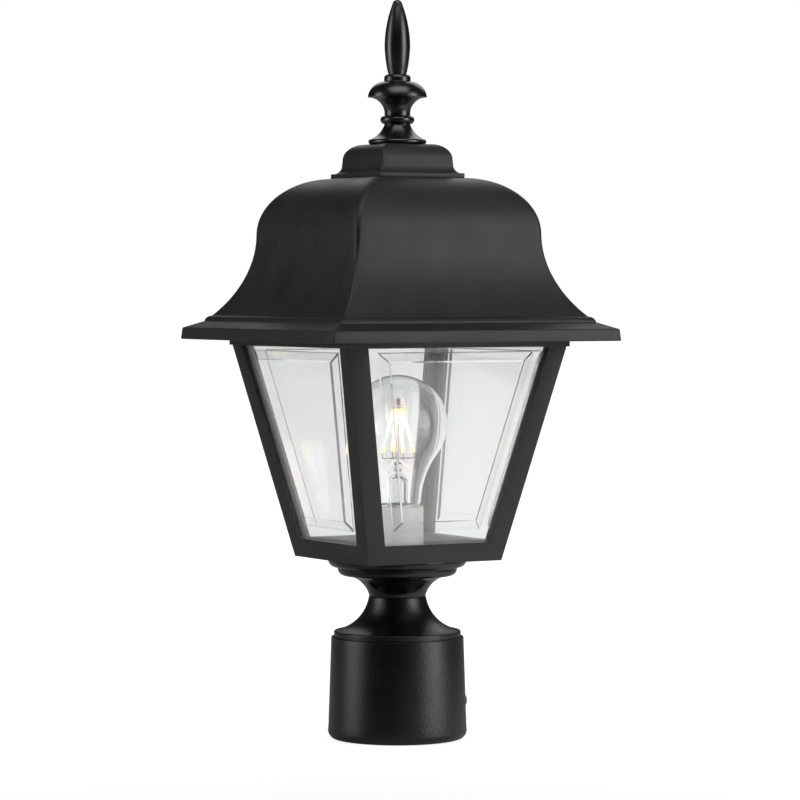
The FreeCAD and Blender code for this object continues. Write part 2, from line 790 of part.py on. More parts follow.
def makeSocket():
    bore = SOCKET_BORE
    corners = [
        ("nippleRadius + threadGap", "0"),
        ("socketRadius", "0"),
        ("socketRadius", "socketHeight"),
        (bore, "socketHeight"),
        (bore, "socketFloor"),
        ("nippleRadius + threadGap", "socketFloor"),
    ]
    node(seat(turned("socket_body", corners), LEVEL["socket"]), "socket_body")
    disc = rod("socket_disc", bore + " - discGap", "discThick")
    node(seat(disc, LEVEL["disc"]), "socket_disc")
    shellTop = "(socketHeight - socketFloor - discThick - shellDrop)"
    inside = "(" + SHELL_OUTSIDE + " - shellWall)"
    corners = [
        (SHELL_OUTSIDE + " - shellFlange", "0"),
        (SHELL_OUTSIDE, "0"),
        (SHELL_OUTSIDE, shellTop),
        (inside, shellTop),
        (inside, "shellWall"),
        (SHELL_OUTSIDE + " - shellFlange", "shellWall"),
    ]
    node(seat(turned("socket_shell", corners), LEVEL["tab"]), "socket_shell")
    corners = [
        ("0", "0"),
        ("tabRadius", "0"),
        ("tabRadius", "tabEdge"),
        ("tabTopRadius", "tabHeight"),
        ("0", "tabHeight"),
    ]
    node(seat(turned("socket_contact", corners), LEVEL["tab"]), "socket_contact")


def makeBulbBase():
    corners = [
        ("0", "0"),
        ("bulbContactFoot", "0"),
        ("bulbContactRadius", "bulbContactHeight"),
        ("0", "bulbContactHeight"),
    ]
    node(seat(turned("bulb_contact", corners), LEVEL["bulb"]), "bulb_contact")
    corners = [
        ("0", "bulbContactHeight"),
        ("bulbInsulatorFoot", "bulbContactHeight"),
        ("bulbInsulatorRadius", "bulbInsulatorTop"),
        ("0", "bulbInsulatorTop"),
    ]
    node(seat(turned("bulb_insulator", corners), LEVEL["bulb"]), "bulb_insulator")
    inside = "(bulbCapRadius - bulbCapWall)"
    lipTop = "(bulbInsulatorTop + bulbCapWall)"
    corners = [
        ("bulbCapLip", "bulbInsulatorTop"),
        ("bulbCapRadius", "bulbInsulatorTop"),
        ("bulbCapRadius", "bulbCapTop"),
        (inside, "bulbCapTop"),
        (inside, lipTop),
        ("bulbCapLip", lipTop),
    ]
    node(seat(turned("bulb_cap", corners), LEVEL["bulb"]), "bulb_cap")


def globeLevel(radius, reach):
    # Height at which the lower half of a globe has a given radius.
    return "(globeHeight - sqrt((%s) ^ 2 - (%s) ^ 2))" % (radius, reach)


def makeBulbGlass():
    innerGlobe = "(globeRadius - glassWall)"
    innerShoulder = "(glassShoulderRadius - glassWall)"
    corners = [
        ("glassFootRadius - glassWall", "glassFootHeight"),
        ("glassFootRadius", "glassFootHeight"),
        ("glassFootRadius", "bulbCapTop"),
        ("glassNeckRadius", "glassNeckHeight", "in", "glassSweep"),
        ("glassShoulderRadius", globeLevel("globeRadius", "glassShoulderRadius"), "out", "globeRadius"),
        ("globeRadius", "globeHeight", "out", "globeRadius"),
        ("0", "globeHeight + globeRadius"),
        ("0", "globeHeight + " + innerGlobe, "in", innerGlobe),
        (innerGlobe, "globeHeight", "in", innerGlobe),
        (innerShoulder, globeLevel(innerGlobe, innerShoulder), "out", "(glassSweep + glassWall)"),
        ("glassNeckRadius - glassWall", "glassNeckHeight"),
        ("glassFootRadius - glassWall", "bulbCapTop"),
    ]
    node(seat(turned("bulb_envelope", corners), LEVEL["bulb"]), "bulb_envelope")
    corners = [
        ("0", "glassFootHeight"),
        ("stemFlareRadius", "glassFootHeight"),
        ("stemFlareRadius", "stemFlareTop"),
        ("stemRadius", "stemStraight"),
        ("stemRadius", "stemShoulder", "out", "stemDomeRound"),
        ("stemNeckRadius", "stemNeckHeight"),
        ("stemNeckRadius", "stemNeckTop"),
        ("stemBeadRadius", "stemBeadHeight"),
        ("stemNeckRadius", "stemTop"),
        ("0", "stemTop"),
    ]
    node(seat(turned("bulb_stem", corners), LEVEL["bulb"]), "bulb_stem")


def makeFilaments():
    reach = "(filamentFootReach - filamentTopReach)"
    rise = "(filamentTop - filamentFoot)"
    leaning = "rotation(vector(0; 1; 0); -atan(%s / %s))" % (reach, rise)
    strips = []
    arms = []
    riser = "filamentFoot - wireLevel - wirePostGap"
    for index in range(int(valueOf("filamentCount"))):
        turn = "rotation(vector(0; 0; 1); filamentAngle + %d * 360 / filamentCount)" % index
        strip = rod("filament%d" % index, "filamentRadius", "sqrt(%s ^ 2 + %s ^ 2)" % (reach, rise))
        spot = turn + " * vector(filamentFootReach; 0; filamentFoot)"
        bind(strip, Placement="placement(%s; %s * %s)" % (spot, turn, leaning))
        strips.append(strip)
        arm = rod("wireArm%d" % index, "wireRadius", "filamentFootReach")
        flat = "rotation(vector(0; 1; 0); quarterTurn)"
        bind(arm, Placement="placement(vector(0; 0; wireLevel); %s * %s)" % (turn, flat))
        arms.append(arm)
        post = rod("wirePost%d" % index, "wirePostRadius", riser)
        spot = turn + " * vector(filamentFootReach - wirePostInset; 0; wireLevel)"
        bind(post, Placement="placement(%s; %s)" % (spot, turn))
        arms.append(post)
    node(seat(group("bulb_filaments", *strips), LEVEL["bulb"]), "bulb_filaments")
    arms.append(rod("wireHub", "wireHub", "wireLevel + wireHubRise - stemTop", "stemTop"))
    arms.append(rod("wireMast", "wireRadius", "wireTip - stemTop", "stemTop"))
    crown = "(filamentTop + filamentRadius)"
    arms.append(rod("wireCrown", "filamentCapRadius", "filamentCapThick", crown))
    node(seat(fused("bulb_wires", *arms), LEVEL["bulb"]), "bulb_wires")


def makeTopRing():
    flangeInside = "(" + RING_HALF + " - ringFlangeWidth)"
    top = "(ringHeight + overshoot)"
    outside = squared("ringOutside", [(RING_HALF, "0"), (RING_HALF, "ringHeight")])
    corners = [
        (flangeInside, "0"),
        (flangeInside, "ringFlange"),
        (RING_INSIDE, "ringFlange"),
        (RING_INSIDE, top),
    ]
    cuts = [squared("ringInside", corners)]
    through = ("ringFlange + 2 * overshoot", "-overshoot")
    for index, spot in enumerate(cornerSpots()):
        cuts.append(rod("ringHole%d" % index, "screwRadius + screwHoleGap", *through, *spot))
    for index, spot in enumerate(barScrewSpots()):
        cuts.append(rod("ringPilot%d" % index, "screwRadius + screwPilotGap", *through, *spot))
    ring = cut("top_ring", outside, *cuts)
    node(seat(ring, LEVEL["ring"]), "top_ring")


def barScrewSpots():
    reach = "(" + RING_INSIDE + " - barEndGap - barScrewInset)"
    return [(reach, "0"), ("-" + reach, "0")]


def makeScrews():
    screws = []
    for index, (across, along) in enumerate(cornerSpots()):
        name = "ringScrew%d" % index
        shank = rod(name + "Shank", "screwRadius", "screwBite + ringFlange", "-screwBite", across, along)
        head = rod(name + "Head", "screwHeadRadius", "screwHead", "ringFlange", across, along)
        screws.append(fused(name, shank, head))
    node(seat(group("ring_screws", *screws), LEVEL["ring"]), "ring_screws")
    screws = []
    for index, (across, along) in enumerate(barScrewSpots()):
        name = "barScrew%d" % index
        length = "ringFlange + barThick - barScrewTip"
        shank = rod(name + "Shank", "screwRadius", length, "barScrewTip", across, along)
        top = "ringFlange + barThick"
        head = rod(name + "Head", "screwHeadRadius", "screwHead", top, across, along)
        screws.append(fused(name, shank, head))
    node(seat(group("crossbar_screws", *screws), LEVEL["ring"]), "crossbar_screws")


def makeCrossbar():
    bar = doc.addObject("Part::Box", "crossbarStrap")
    half = "(" + RING_INSIDE + " - barEndGap)"
    bind(bar, Length="2 * " + half, Width="barWidth", Height="barThick")
    bind(bar, Placement_Base_x="-" + half, Placement_Base_y="-barWidth / 2")
    holes = [rod("crossbarRodHole", "rodRadius + threadGap", "barThick")]
    for index, spot in enumerate(barScrewSpots()):
        holes.append(rod("crossbarHole%d" % index, "screwRadius + screwHoleGap", "barThick", "0", *spot))
    node(seat(cut("crossbar", bar, *holes), LEVEL["bar"]), "crossbar")


def makeTieRod():
    length = "(" + LEVEL["finial"] + " + rodReach - " + LEVEL["rodFoot"] + ")"
    node(seat(rod("tie_rod", "rodRadius", length), LEVEL["rodFoot"]), "tie_rod")
    nut = hexNut("rod_nut", "rodNutFlats", "rodNutThick", "rodRadius + threadGap", LEVEL["barTop"])
    node(nut, "rod_nut")


def makeRoof():
    crownTop = "(waistHeight + crownRound)"
    corners = [
        ("brimHalf", "0"),
        ("brimHalf - fasciaDraft", "fasciaHeight"),
        ("lipHalf", "lipHeight", "out", "lipRound"),
        ("flareHalf", "flareHeight", "in", "flareSweep"),
        ("waistHalf", "waistHeight", "out", "crownRound"),
        (CROWN_FLAT, crownTop),
    ]
    outside = squared("roofOutside", corners)
    brimInside = "(brimHalf - roofWall)"
    ledgeInside = "(" + RING_HALF + " - ledgeWidth)"
    ledgeTop = "(brimDrop + roofWall)"
    hollow = [
        (brimInside, "-overshoot"),
        (brimInside, "fasciaHeight - roofWall"),
        ("lipHalf - roofLipWall", "brimDrop"),
        (ledgeInside, "brimDrop"),
        (ledgeInside, ledgeTop),
        ("flareHalf - roofLipWall", ledgeTop, "in", "(flareSweep + roofWall)"),
        ("waistHalf - roofWall", "waistHeight", "out", "(crownRound - roofWall)"),
        (CROWN_FLAT, crownTop + " - roofWall"),
    ]
    inside = squared("roofInside", hollow)
    hole = rod("roofRodHole", ROD_HOLE, "roofWall + 2 * overshoot", crownTop + " - roofWall - overshoot")
    shell = cut("roofShell", outside, inside, hole)
    ribInside = "(" + RING_HALF + " + roofGap)"
    ribOutside = "(" + ribInside + " + ribThick)"
    foot = "(brimDrop - ribDrop)"
    head = "(brimDrop + ribRoot)"
    block = squared("ribOutside", [(ribOutside, foot), (ribOutside, head)])
    core = squared("ribInside", [(ribInside, foot), (ribInside, head)])
    rib = cut("roofRib", block, core)
    node(seat(fused("roof", shell, rib), LEVEL["roof"]), "roof")


def makeRoofCap():
    shoulder = "(" + CAP_SIDE + " - capDraft - capShoulderRound)"
    plate = squared("capPlate", [(CAP_PLATE, "0"), (CAP_PLATE, "capPlateThick")])
    corners = [
        (CAP_PLATE + " - capFootInset", "capPlateThick", "in", "capFootRound"),
        (CAP_SIDE, "capFootHeight"),
        (CAP_SIDE + " - capDraft", "capShoulderHeight", "out", "capShoulderRound"),
        (shoulder, "capHeight"),
    ]
    outside = fused("capOutside", plate, squared("capDome", corners))
    side = "(" + CAP_SIDE + " - capDraft - capWall)"
    hollow = [
        (side, "-overshoot"),
        (side, "capShoulderHeight", "out", "(capShoulderRound - capWall)"),
        (shoulder, "capHeight - capWall"),
    ]
    inside = squared("capInside", hollow)
    hole = rod("capRodHole", ROD_HOLE, "capWall + 2 * overshoot", "capHeight - capWall - overshoot")
    node(seat(cut("roof_cap", outside, inside, hole), LEVEL["cap"]), "roof_cap")


def makeFinial():
    recess = "(finialWasherThick + finialWasherGap)"
    hole = "(rodRadius + threadGap)"
    beadFoot = "finialWaistHeight"
    beadTop = "(finialWaistHeight + 2 * finialBeadRound)"
    ringTop = "(finialBellTopHeight + finialRingEdge + finialRingRound)"
    tipRound = "((spearTipRadius ^ 2 + spearTipRise ^ 2) / (2 * spearTipRise))"
    finialHeight = "(spearTipHeight + spearTipRise)"
    corners = [
        ("0", "rodReach + rodHoleRelief"),
        (hole, "rodReach + rodHoleRelief"),
        (hole, recess),
        ("finialWasherRadius + finialWasherGap", recess),
        ("finialWasherRadius + finialWasherGap", "0"),
        ("finialFlangeRadius - finialFlangeRound", "0", "out", "finialFlangeRound"),
        ("finialFlangeRadius", "finialFlangeRound", "out", "finialFlangeRound"),
        ("finialFlangeRadius - finialFlangeRound", "2 * finialFlangeRound", "in", "finialFlareSweep"),
        ("finialWaistRadius", beadFoot, "out", "finialBeadRound"),
        ("finialWaistRadius + finialBeadRound", beadFoot + " + finialBeadRound", "out", "finialBeadRound"),
        ("finialWaistRadius", beadTop),
        ("finialWaistRadius", beadTop + " + finialNeckHeight", "in", "finialUnderSweep"),
        ("finialBellRadius", "finialBellHeight", "out", "finialBellRound"),
        ("finialBellTopRadius", "finialBellTopHeight"),
        ("finialRingRadius", "finialBellTopHeight"),
        ("finialRingRadius", "finialBellTopHeight + finialRingEdge", "out", "finialRingRound"),
        ("finialRingRadius - finialRingRound", ringTop),
        ("spearFootRadius", ringTop, "out", "spearLowerSweep"),
        ("spearRadius", "spearWaistHeight", "out", "spearUpperSweep"),
        ("spearTipRadius", "spearTipHeight", "out", tipRound),
        ("0", finialHeight),
    ]
    node(seat(turned("finial", corners), LEVEL["finial"]), "finial")
    washer = ("finial_washer", "finialWasherRadius", ROD_HOLE, "finialWasherThick")
    node(ringPlate(*washer, LEVEL["finial"]), "finial_washer")


def checkAndWrite():
    doc.recompute()
    faults = []
    for item in doc.Objects:
        if {"Invalid", "Error"} & set(item.State):
            faults.append(item.Name + " " + item.getStatusString())
    for piece in nodes:
        if piece.Shape.isNull() or not piece.Shape.isValid() or not piece.Shape.Solids:
            faults.append(piece.Label + " has no valid solid")
    if faults:
        raise RuntimeError("; ".join(faults))
    os.makedirs("parts", exist_ok=True)
    for piece in nodes:
        piece.Shape.exportStep("parts/%s.step" % piece.Label)
        box = piece.Shape.BoundBox
        facts = (piece.Label, len(piece.Shape.Solids), piece.Shape.Volume, box.ZMin, box.ZMax)
        print("%s: %d solid(s), %.1f mm3, z %.2f to %.2f" % facts)
    print(len(nodes), "nodes written")


fillSheet()
makeWedge()
makeSleeve()
makeSetScrews()
makeNeck()
makeCollar()
makeNipple()
makeFrame()
makePanels()
makeSocket()
makeBulbBase()
makeBulbGlass()
makeFilaments()
makeTopRing()
makeScrews()
makeCrossbar()
makeTieRod()
makeRoof()
makeRoofCap()
makeFinial()
checkAndWrite()
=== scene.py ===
import json
import math
from types import SimpleNamespace

import bmesh
import bpy
from mathutils import Matrix, Vector


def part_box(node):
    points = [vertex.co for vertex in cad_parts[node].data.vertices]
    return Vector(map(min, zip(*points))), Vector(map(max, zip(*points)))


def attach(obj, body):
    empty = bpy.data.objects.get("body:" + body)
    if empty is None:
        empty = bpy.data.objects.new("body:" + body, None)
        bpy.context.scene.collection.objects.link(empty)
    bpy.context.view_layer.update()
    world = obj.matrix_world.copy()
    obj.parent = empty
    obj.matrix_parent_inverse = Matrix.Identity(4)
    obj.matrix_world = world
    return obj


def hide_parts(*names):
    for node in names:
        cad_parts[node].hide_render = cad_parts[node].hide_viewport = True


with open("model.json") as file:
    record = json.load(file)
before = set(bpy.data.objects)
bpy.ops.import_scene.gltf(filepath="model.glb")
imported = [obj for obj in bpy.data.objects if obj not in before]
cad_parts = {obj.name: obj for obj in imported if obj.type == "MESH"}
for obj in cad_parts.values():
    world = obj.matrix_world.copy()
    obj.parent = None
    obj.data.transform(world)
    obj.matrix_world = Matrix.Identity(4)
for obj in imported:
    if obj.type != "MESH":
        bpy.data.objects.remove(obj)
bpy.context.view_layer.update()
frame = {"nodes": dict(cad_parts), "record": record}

mm = 0.001  # every dictionary below is in millimetres, unless it says otherwise
tiny = 1e-6
record = frame["record"]
homes = {node: body for body, nodes in record["behaviour"]["bodies"].items() for node in nodes}
print("frame loaded:", len(homes), "pieces")


def named(sizes):
    return SimpleNamespace(**sizes)


# Nodes. An input is given a value, or a socket that is linked to it.

def fillInputs(tree, node, inputs):
    for name, value in dict(inputs).items():
        if isinstance(value, bpy.types.NodeSocket):
            tree.links.new(value, node.inputs[name])
        else:
            node.inputs[name].default_value = value


def addNode(tree, kind, inputs=(), out=None, **settings):
    # Returns the node, or only the output that out names.
    node = tree.nodes.new(kind)
    for name, value in settings.items():
        setattr(node, name, value)
    fillInputs(tree, node, inputs)
    return node if out is None else node.outputs[out]


def maths(tree, operation, first, second):
    return addNode(tree, "ShaderNodeMath", {0: first, 1: second}, "Value", operation=operation)


def measured(tree, operation, place, other=(0, 0, 0)):
    inputs = {0: place, 1: other}
    return addNode(tree, "ShaderNodeVectorMath", inputs, "Value", operation=operation)


def combined(tree, **parts):
    return addNode(tree, "ShaderNodeCombineXYZ", parts, "Vector")


def ranged(tree, source, span, levels, interpolation="LINEAR"):
    # The source carried over from its span to the levels.
    limits = {"From Min": span[0], "From Max": span[1], "To Min": levels[0], "To Max": levels[1]}
    inputs = {"Value": source, **limits}
    return addNode(tree, "ShaderNodeMapRange", inputs, "Result", interpolation_type=interpolation)


def mixed(tree, share, first, second):
    return addNode(tree, "ShaderNodeMixShader", {"Fac": share, 1: first, 2: second}, "Shader")


# Finishes.

patchSpan = (0.3, 0.7)  # the part of the noise's range over which a finish changes
commonLook = {"metal": 0.0, "coat": 0.0, "coatRough": 0.1, "shine": 0.5, "stretch": (1, 1, 1)}


def startFinish(name):
    material = bpy.data.materials.new(name)
    material.use_nodes = True
    return material, material.node_tree, material.node_tree.nodes["Principled BSDF"]


def mottle(tree, scale, detail=2.0, stretch=(1, 1, 1)):
    # Noise on the piece's own coordinates, scale in features per metre.
    place = addNode(tree, "ShaderNodeTexCoord", out="Object")
    place = addNode(tree, "ShaderNodeMapping", {"Vector": place, "Scale": stretch}, "Vector")
    inputs = {"Vector": place, "Scale": scale, "Detail": detail}
    return addNode(tree, "ShaderNodeTexNoise", inputs, "Fac")


def addRamp(tree, source, stops):
    ramp = addNode(tree, "ShaderNodeValToRGB", {"Fac": source})
    elements = ramp.color_ramp.elements
    while len(elements) < len(stops):
        elements.new(0.5)
    for element, (position, colour) in zip(elements, stops):
        element.position = position
        element.color = (*colour, 1)
    return ramp.outputs["Color"]


def patchColour(tree, patches, look):
    return addRamp(tree, patches, list(zip(patchSpan, (look["dark"], look["pale"]))))


def bumpBy(tree, source, depth, **under):
    # Depth in millimetres. A second bump takes the first one's normal.
    inputs = {"Distance": depth * mm, "Strength": 1.0, "Height": source, **under}
    return addNode(tree, "ShaderNodeBump", inputs, "Normal")


def plainFinish(name, look):
    # A patchy colour, a patchy gloss and a fine grain, as the look says.
    material, tree, shader = startFinish(name)
    look = {**commonLook, **look}
    patches = mottle(tree, look["patches"], 3.0, look["stretch"])
    normal = bumpBy(tree, mottle(tree, look["grain"]), look["grainDepth"])
    if "swell" in look:
        normal = bumpBy(tree, mottle(tree, look["swell"], 1.0), look["swellDepth"], Normal=normal)
    fillInputs(tree, shader, {
        "Base Color": patchColour(tree, patches, look), "Normal": normal,
        "Roughness": ranged(tree, patches, patchSpan, look["rough"]),
        "Metallic": look["metal"], "Specular IOR Level": look["shine"],
        "Coat Weight": look["coat"], "Coat Roughness": look["coatRough"],
    })
    return material


def clearFinish(name, look):
    # Clear plastic or glass that lets the lamps' light through.
    material, tree, shader = startFinish(name)
    fillInputs(tree, shader, {
        "Base Color": (*look["tint"], 1), "Transmission Weight": look["clear"],
        "Roughness": look["rough"], "IOR": look["ior"],
        "Normal": bumpBy(tree, mottle(tree, look["ripple"], 1.0), look["rippleDepth"]),
    })
    shadow = addNode(tree, "ShaderNodeLightPath", out="Is Shadow Ray")
    passing = addNode(tree, "ShaderNodeBsdfTransparent", {"Color": (*look["passing"], 1)}, "BSDF")
    surface = mixed(tree, shadow, shader.outputs["BSDF"], passing)
    fillInputs(tree, tree.nodes["Material Output"], {"Surface": surface})
    return material


def glowFinish(name, look):
    # A lit strip: warm white along its middle, orange towards both ends.
    material, tree, shader = startFinish(name)
    low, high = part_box("bulb_filaments")
    place = addNode(tree, "ShaderNodeTexCoord", out="Object")
    height = addNode(tree, "ShaderNodeSeparateXYZ", {"Vector": place}, "Z")
    along = ranged(tree, height, (low.z, high.z), (0.0, 1.0))
    fillInputs(tree, shader, {
        "Base Color": patchColour(tree, mottle(tree, look["grain"]), look),
        "Emission Color": addRamp(tree, along, look["stops"]),
        "Emission Strength": look["strength"], "Roughness": look["rough"],
    })
    return material


def grey(value):
    return (value, value, value)


finishes = {
    "texturedBlack": plainFinish("textured black plastic", {
        "dark": grey(0.015), "pale": grey(0.020), "patches": 45.0, "rough": (0.44, 0.52),
        "grain": 1300.0, "grainDepth": 0.12, "swell": 70.0, "swellDepth": 0.08,
    }),
    "glossBlack": plainFinish("gloss black plastic", {
        "dark": grey(0.0008), "pale": grey(0.0015), "patches": 70.0, "rough": (0.14, 0.18),
        "grain": 900.0, "grainDepth": 0.004,
    }),
    "halfGlossBlack": plainFinish("half gloss black plastic", {
        "dark": grey(0.0008), "pale": grey(0.0015), "patches": 90.0, "rough": (0.27, 0.32),
        "grain": 1100.0, "grainDepth": 0.01, "shine": 1.0,
    }),
    "satinBlack": plainFinish("satin black powder coat", {
        "dark": grey(0.0008), "pale": grey(0.0015), "patches": 80.0, "rough": (0.3, 0.36),
        "grain": 1350.0, "grainDepth": 0.14, "shine": 0.65,
    }),
    "clearAcrylic": clearFinish("clear acrylic", {
        "clear": 0.87, "tint": (0.985, 0.99, 0.99), "rough": 0.0, "ior": 1.49, "ripple": 25.0,
        "rippleDepth": 0.02, "passing": (0.9, 0.91, 0.91),
    }),
    "bulbGlass": clearFinish("clear bulb glass", {
        "clear": 1.0, "tint": (0.99, 0.995, 0.99), "rough": 0.0, "ior": 1.5, "ripple": 40.0,
        "rippleDepth": 0.01, "passing": (0.95, 0.95, 0.95),
    }),
    "zincSteel": plainFinish("zinc plated steel", {
        "dark": (0.48, 0.48, 0.46), "pale": (0.66, 0.66, 0.62), "patches": 160.0,
        "rough": (0.28, 0.42), "grain": 2500.0, "grainDepth": 0.01, "metal": 1.0,
    }),
    "blackSteel": plainFinish("black oxide steel", {
        "dark": grey(0.014), "pale": grey(0.026), "patches": 300.0, "rough": (0.32, 0.45),
        "grain": 2500.0, "grainDepth": 0.01, "shine": 0.7,
    }),
    "whiteSocket": plainFinish("white socket shell", {
        "dark": (0.66, 0.66, 0.64), "pale": (0.72, 0.72, 0.7), "patches": 90.0, "rough": (0.3, 0.4),
        "grain": 1800.0, "grainDepth": 0.01,
    }),
    "fibre": plainFinish("red-brown fibre", {
        "dark": (0.2, 0.1, 0.06), "pale": (0.3, 0.17, 0.1), "patches": 500.0, "rough": (0.6, 0.75),
        "grain": 2200.0, "grainDepth": 0.03, "stretch": (1, 6, 1),
    }),
    "brass": plainFinish("bright brass", {
        "dark": (0.66, 0.47, 0.22), "pale": (0.78, 0.6, 0.32), "patches": 200.0,
        "rough": (0.2, 0.34), "grain": 2500.0, "grainDepth": 0.008, "metal": 1.0,
    }),
    "nickel": plainFinish("bright nickel", {
        "dark": (0.58, 0.56, 0.52), "pale": (0.72, 0.7, 0.66), "patches": 220.0,
        "rough": (0.16, 0.28), "grain": 2500.0, "grainDepth": 0.006, "metal": 1.0,
    }),
    "blackGlass": plainFinish("black base glass", {
        "dark": grey(0.008), "pale": grey(0.016), "patches": 400.0, "rough": (0.08, 0.16),
        "grain": 1200.0, "grainDepth": 0.01, "coat": 0.5,
    }),
    "solder": plainFinish("dull solder", {
        "dark": (0.42, 0.42, 0.43), "pale": (0.6, 0.6, 0.61), "patches": 500.0,
        "rough": (0.35, 0.5), "grain": 1500.0, "grainDepth": 0.04, "metal": 1.0,
    }),
    "leadWire": plainFinish("nickel lead wire", {
        "dark": (0.42, 0.38, 0.33), "pale": (0.58, 0.53, 0.47), "patches": 600.0,
        "rough": (0.25, 0.4), "grain": 3000.0, "grainDepth": 0.005, "metal": 1.0,
    }),
    "cement": plainFinish("brown cement", {
        "dark": (0.22, 0.13, 0.06), "pale": (0.34, 0.22, 0.11), "patches": 400.0,
        "rough": (0.6, 0.8), "grain": 1500.0, "grainDepth": 0.05,
    }),
    "rubber": plainFinish("black rubber", {
        "dark": grey(0.012), "pale": grey(0.02), "patches": 150.0, "rough": (0.65, 0.8),
        "grain": 2200.0, "grainDepth": 0.03, "shine": 0.4,
    }),
    "filamentGlow": glowFinish("lit filament", {
        "stops": [(0.0, (1.0, 0.16, 0.02)), (0.1, (1.0, 0.42, 0.08)), (0.3, (1.0, 0.8, 0.45)),
                  (0.75, (1.0, 0.85, 0.55)), (0.92, (1.0, 0.45, 0.1)), (1.0, (1.0, 0.18, 0.03))],
        "strength": 4.5, "dark": (0.9, 0.6, 0.12), "pale": (1.0, 0.72, 0.2), "rough": 0.4,
        "grain": 900.0,
    }),
}
print("finishes made:", len(finishes))


# Shapes. Each is (points, faces) in millimetres, with its faces outwards.

def traced(corners, degrees=5.0):
    # Points of an outline. A corner is (across, up), or (across, up, "out" or "in", radius)
    # where an arc leads on to the next one. Outlines run counter-clockwise.
    line = []
    for index, corner in enumerate(corners):
        start = Vector(corner[:2])
        line.append(start)
        if len(corner) == 2:
            continue
        finish = Vector(corners[(index + 1) % len(corners)][:2])
        side = 1 if corner[2] == "out" else -1
        chord = finish - start
        rise = math.sqrt(max(corner[3] ** 2 - (chord.length / 2) ** 2, 0.0))
        centre = (start + finish) / 2 + Vector((-chord.y, chord.x)).normalized() * rise * side
        spoke = start - centre
        sweep = 2 * math.asin(min(chord.length / 2 / corner[3], 1.0)) * side
        count = max(2, math.ceil(abs(math.degrees(sweep)) / degrees))
        line += [centre + turnedBy(spoke, sweep * step / count) for step in range(1, count)]
    return line


def turnedBy(arm, angle):
    return Vector((arm.x * math.cos(angle) - arm.y * math.sin(angle),
                   arm.x * math.sin(angle) + arm.y * math.cos(angle)))


def eased(line, ease, closed, pieces=4, sharpOver=18.0, sideShare=0.45):
    # The same line with its sharp corners rounded over a short length.
    result = []
    count = len(line)
    for index, corner in enumerate(line):
        if not closed and index in (0, count - 1):
            result.append(corner)
            continue
        before = line[index - 1] - corner
        after = line[(index + 1) % count] - corner
        if min(before.length, after.length) < tiny:
            continue
        if math.pi - before.angle(after) < math.radians(sharpOver):
            result.append(corner)
            continue
        reach = min(ease, sideShare * before.length, sideShare * after.length)
        first = corner + before.normalized() * reach
        last = corner + after.normalized() * reach
        for step in range(pieces + 1):
            t = step / pieces
            result.append(first * (1 - t) ** 2 + corner * 2 * t * (1 - t) + last * t ** 2)
    return result


def skin(rings, closed):
    # Faces from ring to ring. A ring of one point is a pole.
    points, faces, starts = [], [], []
    for ring in rings:
        starts.append(len(points))
        points += ring
    pairs = [(index, index + 1) for index in range(len(rings) - 1)]
    if closed:
        pairs.append((len(rings) - 1, 0))
    steps = max(len(ring) for ring in rings)
    for one, other in pairs:
        a, b = starts[one], starts[other]
        for k in range(steps):
            j = (k + 1) % steps
            if len(rings[one]) == 1:
                faces.append((a, b + j, b + k))
            elif len(rings[other]) == 1:
                faces.append((a + k, a + j, b))
            else:
                faces.append((a + k, a + j, b + j, b + k))
    return points, faces


def polar(radius, turn, height):
    return (radius * math.cos(turn), radius * math.sin(turn), height)


def roundRing(radius, height, steps):
    if radius < tiny:
        return [(0.0, 0.0, height)]
    return [polar(radius, 2 * math.pi * k / steps, height) for k in range(steps)]


def drum(radius, height, hole=0.0):
    # The outline of a plain disc, ring or cylinder.
    return [(hole, 0.0), (radius, 0.0), (radius, height), (hole, height)]


def turnedShape(corners, foot, ease=0.4, steps=128, degrees=5.0):
    # A shape turned about the axis. Its outline is closed unless it starts on the axis.
    closed = corners[0][0] > tiny
    line = eased(traced(corners, degrees), ease, closed)
    return skin([roundRing(spot.x, foot + spot.y, steps) for spot in line], closed)


def squareRing(half, height, arris, perSide=20, perCorner=6, widest=0.98):
    # A square with rounded corners, counter-clockwise from the +X side's end.
    arris = min(arris, half * widest)
    inset = half - arris
    ring = []
    for quarter in range(4):
        spots = []
        for step in range(perCorner + 1):
            angle = math.pi / 2 * step / perCorner
            spots.append((inset + arris * math.cos(angle), inset + arris * math.sin(angle)))
        spots += [(inset * (1 - 2 * step / perSide), half) for step in range(1, perSide)]
        for across, along in spots:
            for _ in range(quarter):
                across, along = -along, across
            ring.append((across, along, height))
    return ring


def roundLike(ring, radius, height):
    # A circle whose points lie in the same directions as the ring's.
    return [polar(radius, math.atan2(y, x), height) for x, y, _ in ring]


def joined(*shapes):
    points, faces = [], []
    for morePoints, moreFaces in shapes:
        start = len(points)
        points += morePoints
        faces += [tuple(start + k for k in face) for face in moreFaces]
    return points, faces


def threadRings(crest, depth, pitch, foot, head, steps=40, perPitch=6, leadIn=1.0):
    # Rings of a right-hand thread, which fades into plain rings at both ends.
    rows = math.ceil((head - foot) / pitch * perPitch)
    rings = []
    for row in range(rows + 1):
        height = foot + (head - foot) * row / rows
        fade = min(1.0, (height - foot) / (pitch * leadIn), (head - height) / (pitch * leadIn))
        ring = []
        for k in range(steps):
            wave = 0.5 - 0.5 * math.cos(2 * math.pi * (height / pitch - k / steps))
            radius = crest - depth * max(wave, 1.0 - fade)
            ring.append(polar(radius, 2 * math.pi * k / steps, height))
        rings.append(ring)
    return rings


def closedThread(crest, depth, pitch, foot, head, steps, perPitch=6):
    rings = threadRings(crest, depth, pitch, foot, head, steps, perPitch)
    return skin([[(0.0, 0.0, foot)], *rings, [(0.0, 0.0, head)]], False)


nutSizes = {"lead": 0.35, "faceShare": 0.985, "chamferStart": 0.05, "chamfer": 30.0, "steps": 96}


